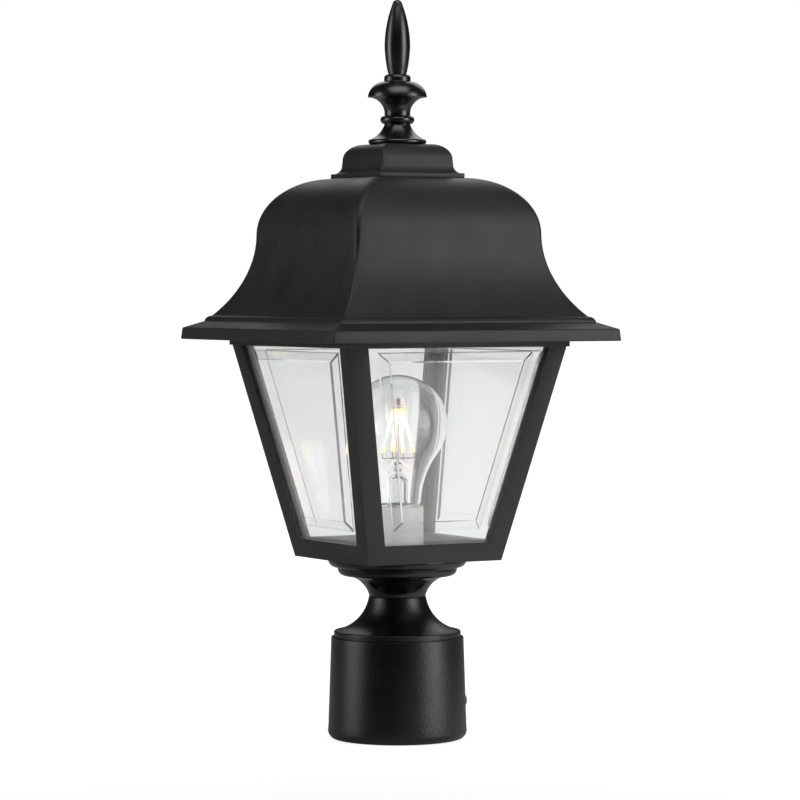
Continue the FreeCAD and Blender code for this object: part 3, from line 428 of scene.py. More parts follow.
def nutShape(flats, hole, foot, head, s=named(nutSizes)):
    # A chamfered hexagon nut with eased threads.
    face = flats / 2

    def hexRing(end, inwards):
        ring = []
        for k in range(s.steps):
            turn = 2 * math.pi * k / s.steps
            radius = face / math.cos(turn % (math.pi / 3) - math.pi / 6)
            fall = (radius - face) * math.tan(math.radians(s.chamfer)) + s.chamferStart
            ring.append(polar(radius, turn, end + fall * inwards))
        return ring

    ends = [(hole + s.lead, foot), (face * s.faceShare, foot), (face * s.faceShare, head),
            (hole + s.lead, head), (hole, head - s.lead), (hole, foot + s.lead)]
    rings = [roundRing(radius, height, s.steps) for radius, height in ends]
    rings[2:2] = [hexRing(foot, 1), hexRing(head, -1)]
    return skin(rings, True)


# Objects.

def linked(name, data):
    piece = bpy.data.objects.new(name, data)
    bpy.context.scene.collection.objects.link(piece)
    return piece


def makeObject(name, shape, finish, smoothUnder=32.0):
    points, faces = shape
    mesh = bpy.data.meshes.new(name)
    mesh.from_pydata([Vector(point) * mm for point in points], [], faces)
    mesh.materials.append(finishes[finish])
    return smoothed(linked(name, mesh), smoothUnder)


def smoothed(piece, smoothUnder=32.0):
    piece.data.shade_smooth()
    piece.data.set_sharp_from_angle(angle=math.radians(smoothUnder))
    return piece


def addBeside(piece, node):
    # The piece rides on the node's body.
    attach(piece, homes[node])


def standFor(piece, node):
    # The piece is also shown in the node's place.
    addBeside(piece, node)
    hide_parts(node)


def dress(node, name, shape, finish, smoothUnder=32.0):
    # A new piece that stands for the node.
    standFor(makeObject(name, shape, finish, smoothUnder), node)


def resultOf(piece):
    graph = bpy.context.evaluated_depsgraph_get()
    return bpy.data.meshes.new_from_object(piece.evaluated_get(graph))


def evaluated(piece):
    # Turns the modifiers' result into a plain mesh.
    mesh = resultOf(piece)
    piece.modifiers.clear()
    piece.data = mesh
    return piece


def carved(piece, cutter):
    cut = piece.modifiers.new("carve", "BOOLEAN")
    cut.operation = "DIFFERENCE"
    cut.solver = "EXACT"
    cut.object = cutter
    evaluated(piece)
    bpy.data.objects.remove(cutter)
    return piece


def merged(piece, other):
    # The piece with the other one's mesh added.
    build = bmesh.new()
    build.from_mesh(piece.data)
    build.from_mesh(other.data)
    build.to_mesh(piece.data)
    build.free()
    bpy.data.objects.remove(other)
    return piece


def cleaned(mesh, weld=0.0, flat=0.0):
    # Welds corners closer than weld, joins faces that turn less than flat, in degrees, and
    # turns the faces outwards.
    build = bmesh.new()
    build.from_mesh(mesh)
    if weld:
        bmesh.ops.remove_doubles(build, verts=build.verts, dist=weld * mm)
    if flat:
        bmesh.ops.dissolve_limit(
            build, angle_limit=math.radians(flat), verts=build.verts, edges=build.edges)
    bmesh.ops.recalc_face_normals(build, faces=build.faces)
    build.to_mesh(mesh)
    build.free()


def bevelled(piece, width, segments, over):
    # Rounds the edges that turn over so many degrees.
    rounding = piece.modifiers.new("edges", "BEVEL")
    rounding.width = width * mm
    rounding.segments = segments
    rounding.limit_method = "ANGLE"
    rounding.angle_limit = math.radians(over)
    rounding.harden_normals = True
    return evaluated(piece)


def laidDown(piece, turn, reach, height):
    # Lays an upright piece outwards at this reach and height, then turns it about the axis.
    lay = Matrix.Rotation(turn, 4, "Z") @ Matrix.Translation((reach * mm, 0, height * mm))
    piece.data.transform(lay @ Matrix.Rotation(math.pi / 2, 4, "Y"))
    return piece


def edges(node):
    # The CAD piece's lowest and highest corners, in millimetres.
    low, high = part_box(node)
    return low / mm, high / mm


def footOf(node):
    return edges(node)[0].z


# Sleeve, neck and collar.

sleeveSizes = {
    "bore": 38.55, "footWall": 0.85, "lipWall": 3.85, "lipHeight": 4.6, "lipRound": 5.5,
    "skirtWall": 3.55, "skirtHeight": 8.0, "rimRadius": 40.35, "rimLip": 1.4, "rimDepth": 3.8,
    "depth": 54.0, "web": 4.0, "cup": 13.0, "cupWall": 3.0, "cupHeight": 12.0, "hole": 5.5,
    "screwHeight": 20.0, "screwHole": 2.46, "cutter": 9.0, "cutterReach": 36.0,
}


def makeSleeve(s):
    webTop = s.depth + s.web
    rimTop = webTop + s.rimDepth
    ceiling = webTop + s.cupHeight - s.cupWall
    cupOutside = s.cup + s.cupWall
    corners = [
        (s.bore, 0.0), (s.bore + s.footWall, 0.0, "out", s.lipRound),
        (s.bore + s.lipWall, s.lipHeight), (s.bore + s.skirtWall, s.skirtHeight),
        (s.rimRadius, rimTop), (s.rimRadius - s.rimLip, rimTop), (s.rimRadius - s.rimLip, webTop),
        (cupOutside, webTop), (cupOutside, webTop + s.cupHeight), (s.hole, webTop + s.cupHeight),
        (s.hole, ceiling), (s.cup, ceiling), (s.cup, s.depth), (s.bore, s.depth),
    ]
    sleeve = turnedShape(corners, 0.0, ease=0.45, steps=180)
    sleeve = makeObject("sleeve_shell", sleeve, "satinBlack")
    for turn in (0.0, math.pi / 2):
        hole = turnedShape(drum(s.screwHole, s.cutter), 0.0, ease=0.0, steps=48)
        cutter = makeObject("screwHoleCutter", hole, "satinBlack")
        carved(sleeve, laidDown(cutter, turn, s.cutterReach, s.screwHeight))
    standFor(smoothed(sleeve), "fitter_sleeve")


makeSleeve(named(sleeveSizes))

neckSizes = {
    "flange": 38.65, "wall": 3.2, "flangeHeight": 6.6, "edge": 1.0, "sweep": 24.8, "waist": 17.4,
    "height": 28.4, "hole": 5.5, "cavity": 16.8, "cavityHeight": 12.8,
}


def makeNeck(s):
    foot = footOf("fitter_neck")
    corners = [
        (s.flange - s.wall, 0.0), (s.flange, 0.0), (s.flange, s.flangeHeight, "out", s.edge),
        (s.flange - s.edge, s.flangeHeight + s.edge, "in", s.sweep), (s.waist, s.height),
        (s.hole, s.height), (s.hole, s.height - s.wall), (s.waist - s.wall, s.height - s.wall),
        (s.cavity, s.cavityHeight), (s.flange - s.wall, s.flangeHeight - s.wall),
    ]
    neck = turnedShape(corners, foot, ease=0.5, steps=160, degrees=4.0)
    dress("fitter_neck", "neck_casting", neck, "satinBlack")


makeNeck(named(neckSizes))

collarSizes = {
    "hole": 5.5, "waist": 17.1, "sweep": 17.0, "soffit": 27.0, "soffitHeight": 11.6,
    "tierFoot": 31.5, "tierFootHeight": 12.9, "tierRound": 4.0, "tier": 36.4, "tierHeight": 16.6,
    "discHeight": 18.0, "discFoot": 38.2, "discRound": 4.5, "disc": 42.2, "discEdge": 1.5,
    "height": 23.1, "cavity": 33.0, "well": 6.5,
}


def makeCollar(s):
    foot = footOf("base_collar")
    floor = s.height - s.well
    corners = [
        (s.hole, 0.0), (s.waist, 0.0, "in", s.sweep), (s.soffit, s.soffitHeight),
        (s.tierFoot, s.tierFootHeight, "out", s.tierRound), (s.tier, s.tierHeight),
        (s.tier, s.discHeight), (s.discFoot, s.discHeight, "out", s.discRound),
        (s.disc, s.height - s.discEdge), (s.disc, s.height), (s.cavity, s.height),
        (s.cavity, floor), (s.hole, floor),
    ]
    collar = turnedShape(corners, foot, ease=0.25, steps=180, degrees=4.0)
    dress("base_collar", "collar_turning", collar, "glossBlack")


makeCollar(named(collarSizes))
print("sleeve, neck and collar made")


# Frame, top ring and crossbar: the CAD pieces with their edges rounded.

softSizes = {"weld": 0.002, "flat": 0.4, "over": 32.0}
softPieces = {
    # node: finish, rounding, segments
    "lantern_frame": ("texturedBlack", 0.55, 3),
    "top_ring": ("texturedBlack", 0.5, 2),
    "crossbar": ("zincSteel", 0.35, 2),
}


def softened(node, finish, edge, segments, s):
    mesh = frame["nodes"][node].data.copy()
    mesh.name = node + "_soft"
    mesh.materials.clear()
    mesh.materials.append(finishes[finish])
    cleaned(mesh, s.weld, s.flat)
    mesh.shade_smooth()
    return bevelled(linked(node + "_soft", mesh), edge, segments, s.over)


for node, (finish, edge, segments) in softPieces.items():
    standFor(softened(node, finish, edge, segments, named(softSizes)), node)
print("frame, ring and crossbar made")


# Panels: one sheet each, formed to a raised middle with sloping borders.

panelSizes = {"lines": 0.22, "lineSegments": 3, "linesOver": 8.0, "levelSpan": 0.2}
outwards = {
    "front": Vector((0, -1, 0)), "right": Vector((1, 0, 0)), "back": Vector((0, 1, 0)),
    "left": Vector((-1, 0, 0)),
}


def spotsOf(node):
    # The CAD piece's corners, each once, in millimetres.
    seen = {}
    for vertex in frame["nodes"][node].data.vertices:
        spot = vertex.co / mm
        seen[tuple(round(part, 2) for part in spot)] = spot
    return list(seen.values())


def facingOf(node, side):
    # The direction that the sheet faces, which leans with the stiles.
    faces = frame["nodes"][node].data.polygons
    best = max(faces, key=lambda face: face.area * max(face.normal.dot(side), 0.0))
    return best.normal.normalized()


def inOrder(spots, facing):
    middle = sum(spots, Vector()) / len(spots)
    across = Vector((0, 0, 1)).cross(facing).normalized()
    along = facing.cross(across)

    def turnOf(spot):
        return math.atan2((spot - middle).dot(along), (spot - middle).dot(across))

    return sorted(spots, key=turnOf)


def makePanel(side, s):
    node = "panel_" + side
    facing = facingOf(node, outwards[side])
    spots = spotsOf(node)
    depths = sorted({round(spot.dot(facing), 1) for spot in spots})
    inner, outer, raised = depths[0], depths[1], depths[-1]

    def level(depth):
        return [spot for spot in spots if abs(spot.dot(facing) - depth) < s.levelSpan]

    top = inOrder(level(raised), facing)
    middle = sum(top, Vector()) / len(top)
    plate = sorted(level(outer), key=lambda spot: (spot - middle).length)
    foot, edge = inOrder(plate[:4], facing), inOrder(plate[-4:], facing)
    back = inOrder(level(inner), facing)
    sheet = (outer - inner) * facing
    rings = [top, foot, edge, back, [spot - sheet for spot in foot], [spot - sheet for spot in top]]
    points, faces = skin(rings, False)
    faces += [(3, 2, 1, 0), tuple(len(points) - 4 + k for k in range(4))]
    panel = makeObject(node + "_sheet", (points, faces), "clearAcrylic")
    cleaned(panel.data)
    panel.data.shade_smooth()
    standFor(bevelled(panel, s.lines, s.lineSegments, s.linesOver), node)


for side in outwards:
    makePanel(side, named(panelSizes))
print("panels made")


# Roof and its cap.

roofSizes = {
    "brim": 98.3, "wall": 3.0, "fascia": 7.1, "draft": 0.7, "lip": 87.5, "lipHeight": 11.2,
    "lipRound": 3.8, "flare": 84.0, "flareHeight": 14.6, "flareSweep": 70.0, "waist": 64.2,
    "waistHeight": 64.2, "crownRound": 33.8, "ring": 75.8, "ledge": 3.0, "ribGap": 0.3, "rib": 2.5,
    "ribDrop": 4.0, "brimDrop": 8.1, "lipWall": 1.5, "rodHole": 3.6, "holeBorder": 1.0,
    "holeReach": 1.5, "fasciaArris": 0.8, "flareArris": 1.0, "crownArris": 3.2, "softFrom": 26.0,
    "softTo": 74.0,
}


def roofArris(s, height):
    # The corners are crisp at the brim and soft on the crown.
    if height < s.lipHeight:
        return s.fasciaArris
    share = (height - s.softFrom) / (s.softTo - s.softFrom)
    share = min(max(share, 0.0), 1.0)
    share = share * share * (3 - 2 * share)
    return s.flareArris + (s.crownArris - s.flareArris) * share


def squareRings(line, foot, s, arrisAt, perSide=20, perCorner=6):
    # Square rings along the line, which turn round at the rod's hole.
    rings = []
    for spot in line:
        ring = squareRing(spot.x, foot + spot.y, arrisAt(s, spot.y), perSide, perCorner)
        if spot.x < s.rodHole + s.holeReach:
            ring = roundLike(ring, spot.x - s.holeBorder, foot + spot.y)
        rings.append(ring)
    return rings


def makeRoof(s):
    foot = footOf("roof")
    top = s.waistHeight + s.crownRound
    ledgeTop = s.brimDrop + s.wall
    ledgeInside = s.ring - s.ledge
    ribInside = s.ring + s.ribGap
    outside = [
        (s.brim, 0.0), (s.brim - s.draft, s.fascia), (s.lip, s.lipHeight, "out", s.lipRound),
        (s.flare, s.flareHeight, "in", s.flareSweep), (s.waist, s.waistHeight, "out", s.crownRound),
        (s.waist - s.crownRound, top), (s.rodHole + s.holeBorder, top),
    ]
    inside = [
        (s.rodHole + s.holeBorder, top - s.wall),
        (s.waist - s.crownRound, top - s.wall, "in", s.crownRound - s.wall),
        (s.waist - s.wall, s.waistHeight, "out", s.flareSweep + s.wall),
        (s.flare - s.lipWall, ledgeTop), (ledgeInside, ledgeTop), (ledgeInside, s.brimDrop),
        (ribInside, s.brimDrop), (ribInside, s.brimDrop - s.ribDrop),
        (ribInside + s.rib, s.brimDrop - s.ribDrop), (ribInside + s.rib, s.brimDrop),
        (s.lip - s.lipWall, s.brimDrop), (s.brim - s.wall, s.fascia - s.wall),
        (s.brim - s.wall, 0.0),
    ]
    line = eased(traced(outside + inside, degrees=2.5), ease=0.7, closed=True)
    rings = squareRings(line, foot, s, roofArris)
    dress("roof", "roof_shell", skin(rings, True), "texturedBlack", smoothUnder=28.0)


makeRoof(named(roofSizes))

capSizes = {
    "plate": 30.0, "plateThick": 2.9, "foot": 27.9, "footRound": 5.6, "side": 25.0,
    "footHeight": 7.6, "draft": 0.3, "shoulderHeight": 11.6, "shoulderRound": 9.4, "height": 20.6,
    "wall": 2.5, "rodHole": 3.6, "holeBorder": 1.0, "holeReach": 1.5, "arris": 0.9,
}


def makeCap(s):
    foot = footOf("roof_cap")
    shoulder = s.side - s.draft - s.shoulderRound
    inner = s.side - s.draft - s.wall
    corners = [
        (s.plate, 0.0), (s.plate, s.plateThick), (s.foot, s.plateThick, "in", s.footRound),
        (s.side, s.footHeight), (s.side - s.draft, s.shoulderHeight, "out", s.shoulderRound),
        (shoulder, s.height), (s.rodHole + s.holeBorder, s.height),
        (s.rodHole + s.holeBorder, s.height - s.wall),
        (shoulder, s.height - s.wall, "in", s.shoulderRound - s.wall), (inner, s.shoulderHeight),
        (inner, 0.0),
    ]
    line = eased(traced(corners, degrees=4.0), ease=0.5, closed=True)
    rings = squareRings(line, foot, s, lambda s, height: s.arris, perSide=12, perCorner=5)
    dress("roof_cap", "cap_shell", skin(rings, True), "texturedBlack", smoothUnder=28.0)


makeCap(named(capSizes))
print("roof and cap made")


# Finial and its washer.

finialSizes = {
    "hole": 3.15, "holeDepth": 17.0, "recess": 1.35, "recessRadius": 12.1, "flange": 17.6,
    "flangeRound": 1.6, "waist": 7.8, "waistHeight": 12.4, "flare": 14.9, "bead": 2.5,
    "neckHeight": 2.1, "underSweep": 10.4, "bell": 18.0, "bellHeight": 28.7, "bellRound": 10.7,
    "bellTop": 9.0, "bellTopHeight": 38.0, "ring": 8.05, "ringEdge": 2.2, "ringRound": 2.2,
    "spearFoot": 5.5, "spear": 7.79, "spearHeight": 59.9, "lowerSweep": 80.0, "upperSweep": 74.0,
    "tip": 3.0, "tipHeight": 85.0, "height": 87.6, "washerHole": 3.6,
}


def makeFinial(s):
    foot = footOf("finial")
    beadTop = s.waistHeight + 2 * s.bead
    ringTop = s.bellTopHeight + s.ringEdge + s.ringRound
    tipRise = s.height - s.tipHeight
    tipRound = (s.tip ** 2 + tipRise ** 2) / (2 * tipRise)
    corners = [
        (0.0, s.holeDepth), (s.hole, s.holeDepth), (s.hole, s.recess), (s.recessRadius, s.recess),
        (s.recessRadius, 0.0), (s.flange - s.flangeRound, 0.0, "out", s.flangeRound),
        (s.flange, s.flangeRound, "out", s.flangeRound),
        (s.flange - s.flangeRound, 2 * s.flangeRound, "in", s.flare),
        (s.waist, s.waistHeight, "out", s.bead),
        (s.waist + s.bead, s.waistHeight + s.bead, "out", s.bead), (s.waist, beadTop),
        (s.waist, beadTop + s.neckHeight, "in", s.underSweep),
        (s.bell, s.bellHeight, "out", s.bellRound), (s.bellTop, s.bellTopHeight),
        (s.ring, s.bellTopHeight), (s.ring, s.bellTopHeight + s.ringEdge, "out", s.ringRound),
        (s.ring - s.ringRound, ringTop), (s.spearFoot, ringTop, "out", s.lowerSweep),
        (s.spear, s.spearHeight, "out", s.upperSweep), (s.tip, s.tipHeight, "out", tipRound),
        (0.0, s.height),
    ]
    finial = turnedShape(corners, foot, ease=0.35, steps=128, degrees=3.0)
    dress("finial", "finial_turning", finial, "halfGlossBlack")
    low, high = edges("finial_washer")
    washer = turnedShape(drum(high.x, high.z - low.z, s.washerHole), low.z, ease=0.3, steps=96)
    dress("finial_washer", "washer_rubber", washer, "rubber")


makeFinial(named(finialSizes))
print("finial made")


# Screws, made from spots by one tree of geometry nodes.

def startTree(name, kinds):
    # A tree with these inputs. Returns it, their sockets and the names that a modifier uses.
    tree = bpy.data.node_groups.new(name, "GeometryNodeTree")
    add = tree.interface.new_socket
    keys = {}
    for label, kind in kinds.items():
        keys[label] = add(name=label, in_out="INPUT", socket_type="NodeSocket" + kind).identifier
    add(name="Result", in_out="OUTPUT", socket_type="NodeSocketGeometry")
    return tree, addNode(tree, "NodeGroupInput").outputs, keys


def endTree(tree, instances, finish):
    real = addNode(tree, "GeometryNodeRealizeInstances", {"Geometry": instances}, "Geometry")
    inputs = {"Geometry": real, "Material": finish}
    painted = addNode(tree, "GeometryNodeSetMaterial", inputs, "Geometry")
    addNode(tree, "NodeGroupOutput", {"Result": painted})


def grown(name, mesh, tree, keys, values):
    # The tree's result on the mesh, as a plain piece.
    piece = linked(name, mesh)
    nodes = piece.modifiers.new("nodes", "NODES")
    nodes.node_group = tree
    for label, value in values.items():
        nodes[keys[label]] = value
    return evaluated(piece)


def buildSpotTree():
    tree, given, keys = startTree("screws on spots", {
        "Spots": "Geometry", "Screw": "Object", "Size": "Float", "Seed": "Int",
        "Finish": "Material",
    })
    model = addNode(tree, "GeometryNodeObjectInfo", {"Object": given["Screw"]}, "Geometry")
    limits = {3: 2 * math.pi, "Seed": given["Seed"]}
    turn = addNode(tree, "FunctionNodeRandomValue", limits, 1, data_type="FLOAT")
    placed = addNode(tree, "GeometryNodeInstanceOnPoints", {
        "Points": given["Spots"], "Instance": model, "Rotation": combined(tree, Z=turn),
        "Scale": given["Size"],
    }, "Instances")
    endTree(tree, placed, given["Finish"])
    return tree, keys


def boxShape(across, along, up):
    ends = (-0.5, 0.5)
    points = [(x * across, y * along, z * up) for z in ends for y in ends for x in ends]
    faces = [(0, 2, 3, 1), (4, 5, 7, 6), (0, 1, 5, 4), (2, 6, 7, 3), (0, 4, 6, 2), (1, 3, 7, 5)]
    return points, faces


screwSizes = {
    "shank": 1.2, "threadDepth": 0.22, "threadGap": 0.1, "pitch": 0.6, "headRadius": 2.6,
    "head": 1.8, "seed": 5,
    # shares of the head's radius and, for the rise, of its height
    "domeRound": 1.35, "slotLength": 1.15, "slotWidth": 0.26, "slotRise": 0.85,
}
spotTree, spotKeys = buildSpotTree()


def crossedScrew(name, length, s):
    # A pan head screw with a cross recess, its head's underside at height 0.
    dome = [(0.0, 0.0), (s.headRadius, 0.0, "out", s.headRadius * s.domeRound), (0.0, s.head)]
    screw = makeObject(name, turnedShape(dome, 0.0, ease=0.2, steps=40, degrees=8.0), "zincSteel")
    for turn in (0.0, math.pi / 2):
        bar = boxShape(s.headRadius * s.slotLength, s.headRadius * s.slotWidth, s.head)
        block = makeObject("recessCutter", bar, "zincSteel")
        lift = Matrix.Translation((0, 0, s.head * s.slotRise * mm))
        block.data.transform(Matrix.Rotation(turn, 4, "Z") @ lift)
        carved(screw, block)
    thread = closedThread(s.shank, s.threadDepth, s.pitch, -length, -s.threadGap, steps=24)
    merged(screw, makeObject(name + "Thread", thread, "zincSteel"))
    return smoothed(screw, smoothUnder=35.0)


def makeScrewSet(name, node, corners, s):
    low, high = edges(node)
    reach = high.x - s.headRadius
    headFoot = high.z - s.head
    model = crossedScrew(name + "Model", headFoot - low.z, s)
    mesh = bpy.data.meshes.new(name)
    spots = [(x * reach * mm, y * reach * mm, headFoot * mm) for x, y in corners]
    mesh.from_pydata(spots, [], [])
    piece = grown(name, mesh, spotTree, spotKeys, {
        "Screw": model, "Size": 1.0, "Seed": s.seed, "Finish": finishes["zincSteel"],
    })
    bpy.data.objects.remove(model)
    standFor(piece, node)


ringCorners = [(x, y) for x in (-1, 1) for y in (-1, 1)]
makeScrewSet("ring_screw_set", "ring_screws", ringCorners, named(screwSizes))
makeScrewSet("bar_screw_set", "crossbar_screws", [(-1, 0), (1, 0)], named(screwSizes))
print("screws made")


# Tie rod, nipple, nuts, washers and set screws.

rodSizes = {"pitch": 1.27, "depth": 0.4, "flats": 11.1, "nutHole": 3.15}


def makeTieRod(s):
    low, high = edges("tie_rod")
    thread = closedThread(high.x, s.depth, s.pitch, low.z, high.z, steps=36)
    dress("tie_rod", "rod_thread", thread, "zincSteel", smoothUnder=60.0)
    low, high = edges("rod_nut")
    nut = nutShape(s.flats, s.nutHole, low.z, high.z)
    dress("rod_nut", "rod_lock_nut", nut, "zincSteel")


makeTieRod(named(rodSizes))

nippleSizes = {
    "pitch": 0.94, "depth": 0.35, "bore": 3.4, "flats": 14.3, "nutHole": 5.2, "nut": 4.3,
    "washer": 9.0, "washerThick": 1.2,
}


def makeNipple(s):
    low, high = edges("nipple")
    rings = threadRings(high.x, s.depth, s.pitch, low.z, high.z, steps=44)
    rings += [roundRing(s.bore, high.z, 44), roundRing(s.bore, low.z, 44)]
    dress("nipple", "nipple_thread", skin(rings, True), "zincSteel", smoothUnder=60.0)
    low, high = edges("nipple_nuts")
    feet = (low.z, high.z - s.nut)
    pair = [nutShape(s.flats, s.nutHole, foot, foot + s.nut) for foot in feet]
    dress("nipple_nuts", "nipple_nut_pair", joined(*pair), "zincSteel")
    low, high = edges("nipple_washers")
    outline = drum(s.washer, s.washerThick, s.nutHole)
    feet = (low.z, high.z - s.washerThick)
    pair = [turnedShape(outline, foot, ease=0.25, steps=96) for foot in feet]
    dress("nipple_washers", "nipple_washer_pair", joined(*pair), "zincSteel")


makeNipple(named(nippleSizes))

setScrewSizes = {
    "shank": 2.4, "head": 4.0, "headThick": 2.6, "length": 6.0, "pitch": 0.8, "depth": 0.3,
    "slot": 1.0, "slotDepth": 1.2, "height": 20.0, "tip": 38.7,
}


def makeSetScrews(s):
    for side, turn in (("x", 0.0), ("y", math.pi / 2)):
        shank = closedThread(s.shank, s.depth, s.pitch, 0.0, s.length, steps=32, perPitch=8)
        screw = makeObject("set_screw_%s_turning" % side, shank, "blackSteel", smoothUnder=50.0)
        outline = turnedShape(drum(s.head, s.headThick), s.length, ease=0.4, steps=64)
        head = makeObject("headModel", outline, "blackSteel")
        bar = boxShape(3 * s.head, s.slot, 2 * s.slotDepth)
        slot = makeObject("slotCutter", bar, "blackSteel")
        slot.data.transform(Matrix.Translation((0, 0, (s.length + s.headThick) * mm)))
        merged(screw, carved(head, slot))
        laidDown(screw, turn, s.tip, s.height)
        standFor(smoothed(screw, smoothUnder=50.0), "set_screw_" + side)


makeSetScrews(named(setScrewSizes))
print("rod, nipple and set screws made")


# Lamp socket.

socketSizes = {
    "radius": 15.4, "height": 29.0, "floor": 3.0, "wall": 1.3, "hole": 5.2, "shell": 13.85,
    "shellWall": 0.4, "shellHole": 8.85, "tab": 4.0, "tabEdge": 0.6, "tabTop": 2.4,
    "tabHeight": 2.1, "pitch": 3.629, "threadDepth": 0.7,
}


def makeSocket(s):
    foot = footOf("socket_body")
    bore = s.radius - s.wall
    corners = [
        (s.hole, 0.0), (s.radius, 0.0), (s.radius, s.height), (bore, s.height), (bore, s.floor),
        (s.hole, s.floor),
    ]
    dress("socket_body", "socket_moulding", turnedShape(corners, foot, ease=0.5), "whiteSocket")
    low, high = edges("socket_disc")
    disc = turnedShape(drum(high.x, high.z - low.z), low.z, ease=0.2, steps=96)
    dress("socket_disc", "socket_fibre", disc, "fibre")
    low, high = edges("socket_shell")
    floor = low.z + s.shellWall
    outer, inner = [threadRings(crest, s.threadDepth, s.pitch, floor, high.z, steps=96, perPitch=16)
                    for crest in (s.shell, s.shell - s.shellWall)]
    rings = [roundRing(s.shellHole, low.z, 96), roundRing(s.shell - s.threadDepth, low.z, 96)]
    rings += outer + inner[::-1] + [roundRing(s.shellHole, floor, 96)]
    dress("socket_shell", "socket_screw_shell", skin(rings, True), "brass", smoothUnder=50.0)
    tab = [
        (0.0, 0.0), (s.tab, 0.0), (s.tab, s.tabEdge), (s.tabTop, s.tabHeight), (0.0, s.tabHeight),
    ]
    tab = turnedShape(tab, footOf("socket_contact"), ease=0.3, steps=64)
    dress("socket_contact", "socket_tab", tab, "brass")


makeSocket(named(socketSizes))
print("socket made")


# Bulb. Its heights are above its centre contact.

bulbSizes = {
    "contact": 4.8, "contactFoot": 3.6, "contactHeight": 1.4, "insulatorFoot": 5.2,
    "insulator": 12.2, "insulatorTop": 5.0, "cap": 13.15, "capTop": 24.0, "capWall": 0.4,
    "capSeat": 11.5, "capFootEase": 0.3, "rampFoot": 0.6, "rampTop": 1.6, "rampInside": 1.4,
    "pitch": 3.629, "threadDepth": 0.7, "threadFoot": 6.0, "threadTop": 20.0, "wall": 0.8,
    "footRadius": 12.65, "footHeight": 20.0, "neck": 13.9, "neckHeight": 25.6, "sweep": 52.0,
    "shoulder": 24.6, "globe": 30.0, "globeHeight": 73.0, "cementHeight": 0.9, "cementGap": 0.02,
}


def makeBulb(s):
    foot = footOf("bulb_contact")
    contact = [
        (0.0, 0.0), (s.contactFoot, 0.0), (s.contact, s.contactHeight), (0.0, s.contactHeight),
    ]
    cone = [
        (0.0, s.contactHeight), (s.insulatorFoot, s.contactHeight),
        (s.insulator, s.insulatorTop), (0.0, s.insulatorTop),
    ]
    contact = turnedShape(contact, foot, ease=0.4, steps=64)
    dress("bulb_contact", "bulb_eyelet", contact, "solder")
    cone = turnedShape(cone, foot, ease=0.4, steps=96)
    dress("bulb_insulator", "bulb_base_glass", cone, "blackGlass")
    root = s.cap - s.threadDepth
    inside = s.cap - s.capWall
    below = [(s.capSeat, s.insulatorTop), (root - s.capFootEase, s.insulatorTop)]
    above = [
        (root, s.threadTop + s.rampFoot), (s.cap, s.threadTop + s.rampTop), (s.cap, s.capTop),
        (inside, s.capTop), (inside, s.threadTop + s.rampInside),
        (root - s.capWall, s.threadTop), (root - s.capWall, s.insulatorTop + s.capWall),
        (s.capSeat, s.insulatorTop + s.capWall),
    ]
    rings = [roundRing(radius, foot + height, 96) for radius, height in below + above]
    thread = (foot + s.threadFoot, foot + s.threadTop)
    rings[2:2] = threadRings(s.cap, s.threadDepth, s.pitch, *thread, steps=96, perPitch=16)
    dress("bulb_cap", "bulb_screw_cap", skin(rings, True), "nickel", smoothUnder=50.0)
    cementFoot = s.capTop - s.cementHeight / 2
    cement = [
        (s.footRadius + s.cementGap, cementFoot), (inside - s.cementGap, cementFoot),
        (s.footRadius + s.cementGap, cementFoot + s.cementHeight),
    ]
    cement = turnedShape(cement, foot, ease=0.05, steps=96)
    addBeside(makeObject("bulb_cement", cement, "cement"), "bulb_cap")


def makeEnvelope(s):
    foot = footOf("bulb_contact")
    innerGlobe = s.globe - s.wall
    innerShoulder = s.shoulder - s.wall
    shoulderHeight = s.globeHeight - math.sqrt(s.globe ** 2 - s.shoulder ** 2)
    innerShoulderHeight = s.globeHeight - math.sqrt(innerGlobe ** 2 - innerShoulder ** 2)
    outside = [
        (s.footRadius - s.wall, s.footHeight), (s.footRadius, s.footHeight),
        (s.footRadius, s.capTop), (s.neck, s.neckHeight, "in", s.sweep),
        (s.shoulder, shoulderHeight, "out", s.globe), (s.globe, s.globeHeight, "out", s.globe),
    ]
    inside = [
        (innerGlobe, s.globeHeight, "in", innerGlobe),
        (innerShoulder, innerShoulderHeight, "out", s.sweep + s.wall),
        (s.neck - s.wall, s.neckHeight), (s.footRadius - s.wall, s.capTop),
    ]
    top = s.globeHeight + s.globe
    inside = [(0.0, top - s.wall, "in", innerGlobe), *inside, (s.footRadius - s.wall, s.footHeight)]
    line = traced([*outside, (0.0, top)], degrees=3.0) + traced(inside, degrees=3.0)[:-1]
    rings = [roundRing(spot.x, foot + spot.y, 128) for spot in line]
    dress("bulb_envelope", "bulb_glass", glassSkin(rings), "bulbGlass", smoothUnder=70.0)


def glassSkin(rings):
    # The rings run up the outside to the crown's pole and down the inside from the inner pole.
    pole = next(index for index, ring in enumerate(rings) if len(ring) == 1)
    points, faces = joined(skin(rings[:pole + 1], False), skin(rings[pole + 1:], False))
    steps = len(rings[0])
    last = len(points) - steps
    faces += [(last + k, last + (k + 1) % steps, (k + 1) % steps, k) for k in range(steps)]
    return points, faces


stemSizes = {
    "flare": 11.0, "foot": 20.0, "flareTop": 21.2, "tube": 5.8, "straight": 25.5, "shoulder": 38.5,
    "dome": 4.6, "neck": 1.6, "neckHeight": 42.6, "neckTop": 44.5, "bead": 3.4, "beadHeight": 47.0,
    "top": 50.0, "wall": 0.7, "domeInside": 41.4, "domeShare": 0.6, "domeDrop": 0.9, "ease": 1.2,
    "innerEase": 1.5,
}


